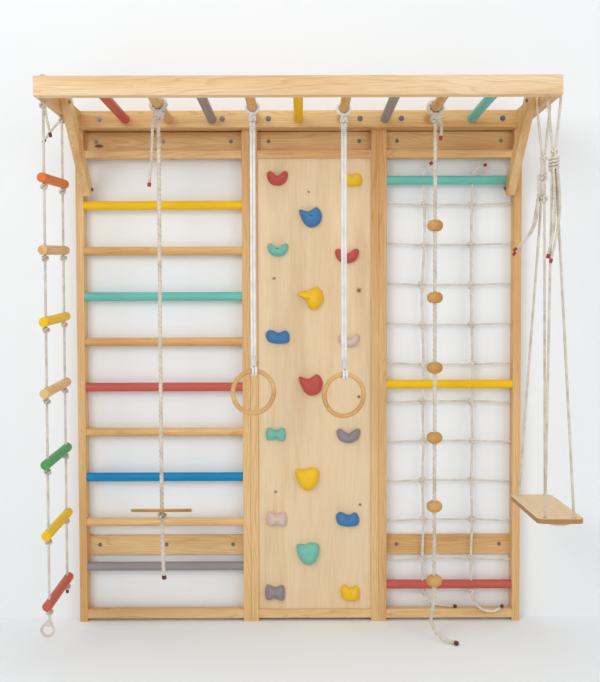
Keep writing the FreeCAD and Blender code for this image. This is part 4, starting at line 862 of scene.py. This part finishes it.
uprights, knots_bm = bmesh.new(), bmesh.new()
for i, x in enumerate((0.562, 0.784)):
    route = [(x + dx, y, z) for dx, y, z in BOTTOM_TAILS[i]] + [(x, UPRIGHT_Y, 0.163)]
    for row in range(ROWS):
        z, knot_x = sum(row_height(row)), x + WANDER[i][row]
        route.append((knot_x, UPRIGHT_Y, z))
        overhand(knots_bm, (knot_x, -0.034, z - 0.004), TIGHT_KNOT, TIGHT_STRAND, (0, 1, 0), row * 1.3 + i)
        lean = 0.2 * math.sin(row * 2.1 + i)
        coil(knots_bm, (knot_x, -0.035, z + 0.006), 0.0112, 0.009, 0.0095, 1.7, (lean, 0, 1))
    route += [(x, UPRIGHT_Y, 1.999)] + [(x + dx, UPRIGHT_Y, z) for dx, z in TOP_TAILS[i]]
    line = lay_rope(uprights, route, NET_UPRIGHT)
    overhand(knots_bm, (x, UPRIGHT_Y, 0.129), 0.0155, 0.0115, (0, 0, 1), i)
    tip(f"net_foot_end_{i + 1}", line[::-1], NET_UPRIGHT, TAPE_BROWN, "frame")
    tip(f"net_top_end_{i + 1}", line, NET_UPRIGHT, TAPE_RED, "frame")
piece("net_upright_ropes", uprights, WHITE_ROPE, "frame", ("net_upright_ropes",))
piece("net_knots", knots_bm, WHITE_ROPE, "frame", ("net_knots",))
# X along a cross rope, and the share of the knots' pull there
PULL = ((0.373, 0), (0.44, 0.15), (0.52, 0.7), (0.562, 1.1), (0.62, 0.9), (0.73, 0.9), (0.784, 1.1),
        (0.84, 0.7), (0.93, 0.15), (0.987, 0))
cross = bmesh.new()
for row in range(ROWS):
    z, rise = row_height(row)
    lay_rope(cross, [(x, CROSS_Y, z + rise * share) for x, share in PULL], NET_CROSS)
piece("net_cross_ropes", cross, WHITE_ROPE, "frame", ("net_cross_ropes",))
print("climbing net")

# %% [markdown]
# ## Climbing holds
# The holds are cast resin grips, bolted through the board. A lofted solid would be smooth all over, so each
# is one closed skin: from the bolt's bore along the board to its outline, up over a rounded, dished and
# slightly lumpy face to the middle of the cap, back under the cap, down the bolt's recess and out through
# the bore.

# %% Holds
# Colour, outline, X from the board's middle, height, width, tallness, depth
HOLDS = (
    ("red", "crescent", -0.165, 2.006, 0.095, 0.065, 0.038),
    ("yellow", "notched", 0.166, 2.0, 0.095, 0.063, 0.038),
    ("blue", "bean", -0.017, 1.832, 0.101, 0.091, 0.048),
    ("teal", "crescent", -0.164, 1.686, 0.095, 0.058, 0.036),
    ("red", "crescent", 0.147, 1.658, 0.108, 0.066, 0.04),
    ("yellow", "drop", -0.019, 1.469, 0.116, 0.102, 0.048),
    ("blue", "notched", -0.166, 1.296, 0.107, 0.063, 0.038),
    ("pink", "crescent", 0.156, 1.276, 0.096, 0.058, 0.036),
    ("red", "bean", -0.017, 1.077, 0.107, 0.097, 0.05),
    ("teal", "bow", -0.176, 0.854, 0.09, 0.061, 0.036),
    ("grey", "crescent", 0.153, 0.846, 0.109, 0.065, 0.038),
    ("yellow", "shield", -0.033, 0.652, 0.104, 0.101, 0.05),
    ("pink", "bow", -0.173, 0.468, 0.092, 0.067, 0.036),
    ("blue", "notched", 0.148, 0.466, 0.105, 0.067, 0.038),
    ("teal", "shield", -0.031, 0.31, 0.1, 0.1, 0.05),
    ("grey", "bow", -0.182, 0.13, 0.091, 0.073, 0.038),
    ("yellow", "notched", 0.16, 0.128, 0.086, 0.074, 0.038),
)
BOARD_X = 0.07
# Outlines in shares of the width and tallness, anticlockwise
OUTLINES = {
    "crescent": ((-.5, .3), (-.36, -.3), (.02, -.5), (.38, -.26), (.5, .34), (.34, .5), (0, .17), (-.32, .5)),
    "notched": ((-.5, .24), (-.4, -.34), (0, -.5), (.44, -.4), (.5, .1), (.34, .46), (.04, .3), (-.3, .5)),
    "bean": ((-.5, .38), (-.4, -.06), (-.2, -.4), (.1, -.5), (.42, -.28), (.5, .16), (.28, .5), (-.1, .3)),
    "drop": ((-.5, .2), (-.2, -.06), (-.08, -.4), (.2, -.5), (.46, -.22), (.5, .2), (.28, .5), (-.08, .36)),
    "bow": ((-.5, .1), (-.42, -.44), (0, -.36), (.4, -.5), (.5, 0), (.4, .46), (.02, .34), (-.38, .5)),
    "shield": ((-.5, .4), (-.46, -.08), (-.2, -.46), (.16, -.5), (.44, -.16), (.5, .36), (.2, .5),
               (-.16, .42)),
}
# Where each kind is dished: X and Z in shares of its size, the dish's reach and its share of the depth
DISHES = {
    "crescent": (0, 0.34, 0.3, 0.42), "notched": (0.05, 0.38, 0.24, 0.38), "bean": (0.12, 0.3, 0.24, 0.3),
    "drop": (-0.28, 0.2, 0.22, 0.3), "bow": (0, -0.36, 0.22, 0.3), "shield": (0.02, 0.36, 0.26, 0.34),
}
PLASTICS = {
    "red": ("#C9524A", "#A33A38", "#E09A90"), "yellow": ("#F6C717", "#E0AE10", "#FAE07A"),
    "blue": ("#3F7FB8", "#2F669A", "#7FAED2"), "teal": ("#7CC4B4", "#5BAA9B", "#AEDFD5"),
    "pink": ("#DEC5B9", "#C4A598", "#EFE0D8"), "grey": ("#978B92", "#7A6F78", "#B5ABB2"),
}
BORE, RECESS, RECESS_DEPTH = 0.0056, 0.0095, 0.014
CAP_THICKNESS, PINHOLE = 0.001, 0.0003
AROUND, OVER = 72, 26


def closed_curve(points, u):
    """A smooth closed line through the points, at u from 0 to 1."""
    count = len(points)
    i, t = int(u * count) % count, (u * count) % 1
    a, b, c, d = (Vector(points[(i + k) % count]) for k in (-1, 0, 1, 2))
    square, cube = 2 * a - 5 * b + 4 * c - d, 3 * b - a - 3 * c + d
    return 0.5 * (2 * b + (c - a) * t + square * t * t + cube * t ** 3)


def hold(bm, kind, x, z, width, tall, depth):
    """Adds one hold: rings of vertices that close on themselves, from the bore round to the bore."""
    dish_x, dish_z, dish_reach, dish_depth = DISHES[kind]
    rim = [closed_curve(OUTLINES[kind], i / AROUND) for i in range(AROUND)]
    rim = [Vector((p.x * width, p.y * tall)) for p in rim]
    rings = [[(p.normalized() * BORE, 0.0) for p in rim], [(p * 0.985, 0.0) for p in rim]]
    for j in range(1, OVER + 1):
        t = 1 - math.cos(math.pi / 2 * j / OVER)
        rise = math.sqrt(1 - (1 - t) ** 2)
        ring = []
        for p in rim:
            spot = p.lerp(p.normalized() * PINHOLE, t)
            away = ((spot.x / width - dish_x) ** 2 + (spot.y / tall - dish_z) ** 2) / dish_reach ** 2
            lumps = noise.noise(Vector((spot.x + x, spot.y + z, depth)) * 34)
            fine = noise.noise(Vector((spot.x + x, spot.y + z, depth)) * 210)
            dished = 1 - dish_depth * math.exp(-away) * min(1, 1.6 * t)
            ring.append((spot, depth * rise * dished + 0.0016 * lumps * rise + 0.0003 * fine))
        rings.append(ring)
    head_floor = depth - RECESS_DEPTH
    under_cap = min(high for _, high in rings[-1]) - CAP_THICKNESS
    rings += [[(p.normalized() * reach, high) for p in rim]
              for reach, high in ((PINHOLE, under_cap), (RECESS, under_cap), (RECESS, head_floor),
                                  (BORE, head_floor))]
    made = [[bm.verts.new((x + p.x, BOARD_FRONT - high, z + p.y)) for p, high in ring] for ring in rings]
    for low, high in zip(made, made[1:] + made[:1]):
        for j in range(AROUND):
            bm.faces.new((low[j], low[(j + 1) % AROUND], high[(j + 1) % AROUND], high[j]))


for shade, (code, fleck, pale) in PLASTICS.items():
    bm = bmesh.new()
    mine = [entry for entry in HOLDS if entry[0] == shade]
    for _, kind, x, z, width, tall, depth in mine:
        hold(bm, kind, BOARD_X + x, z, width, tall, depth)
    piece(f"{shade}_holds", bm, moulded(f"{shade}_resin", code, fleck, pale), "frame", (f"{shade}_holds",))
    print(len(mine), shade, "holds")
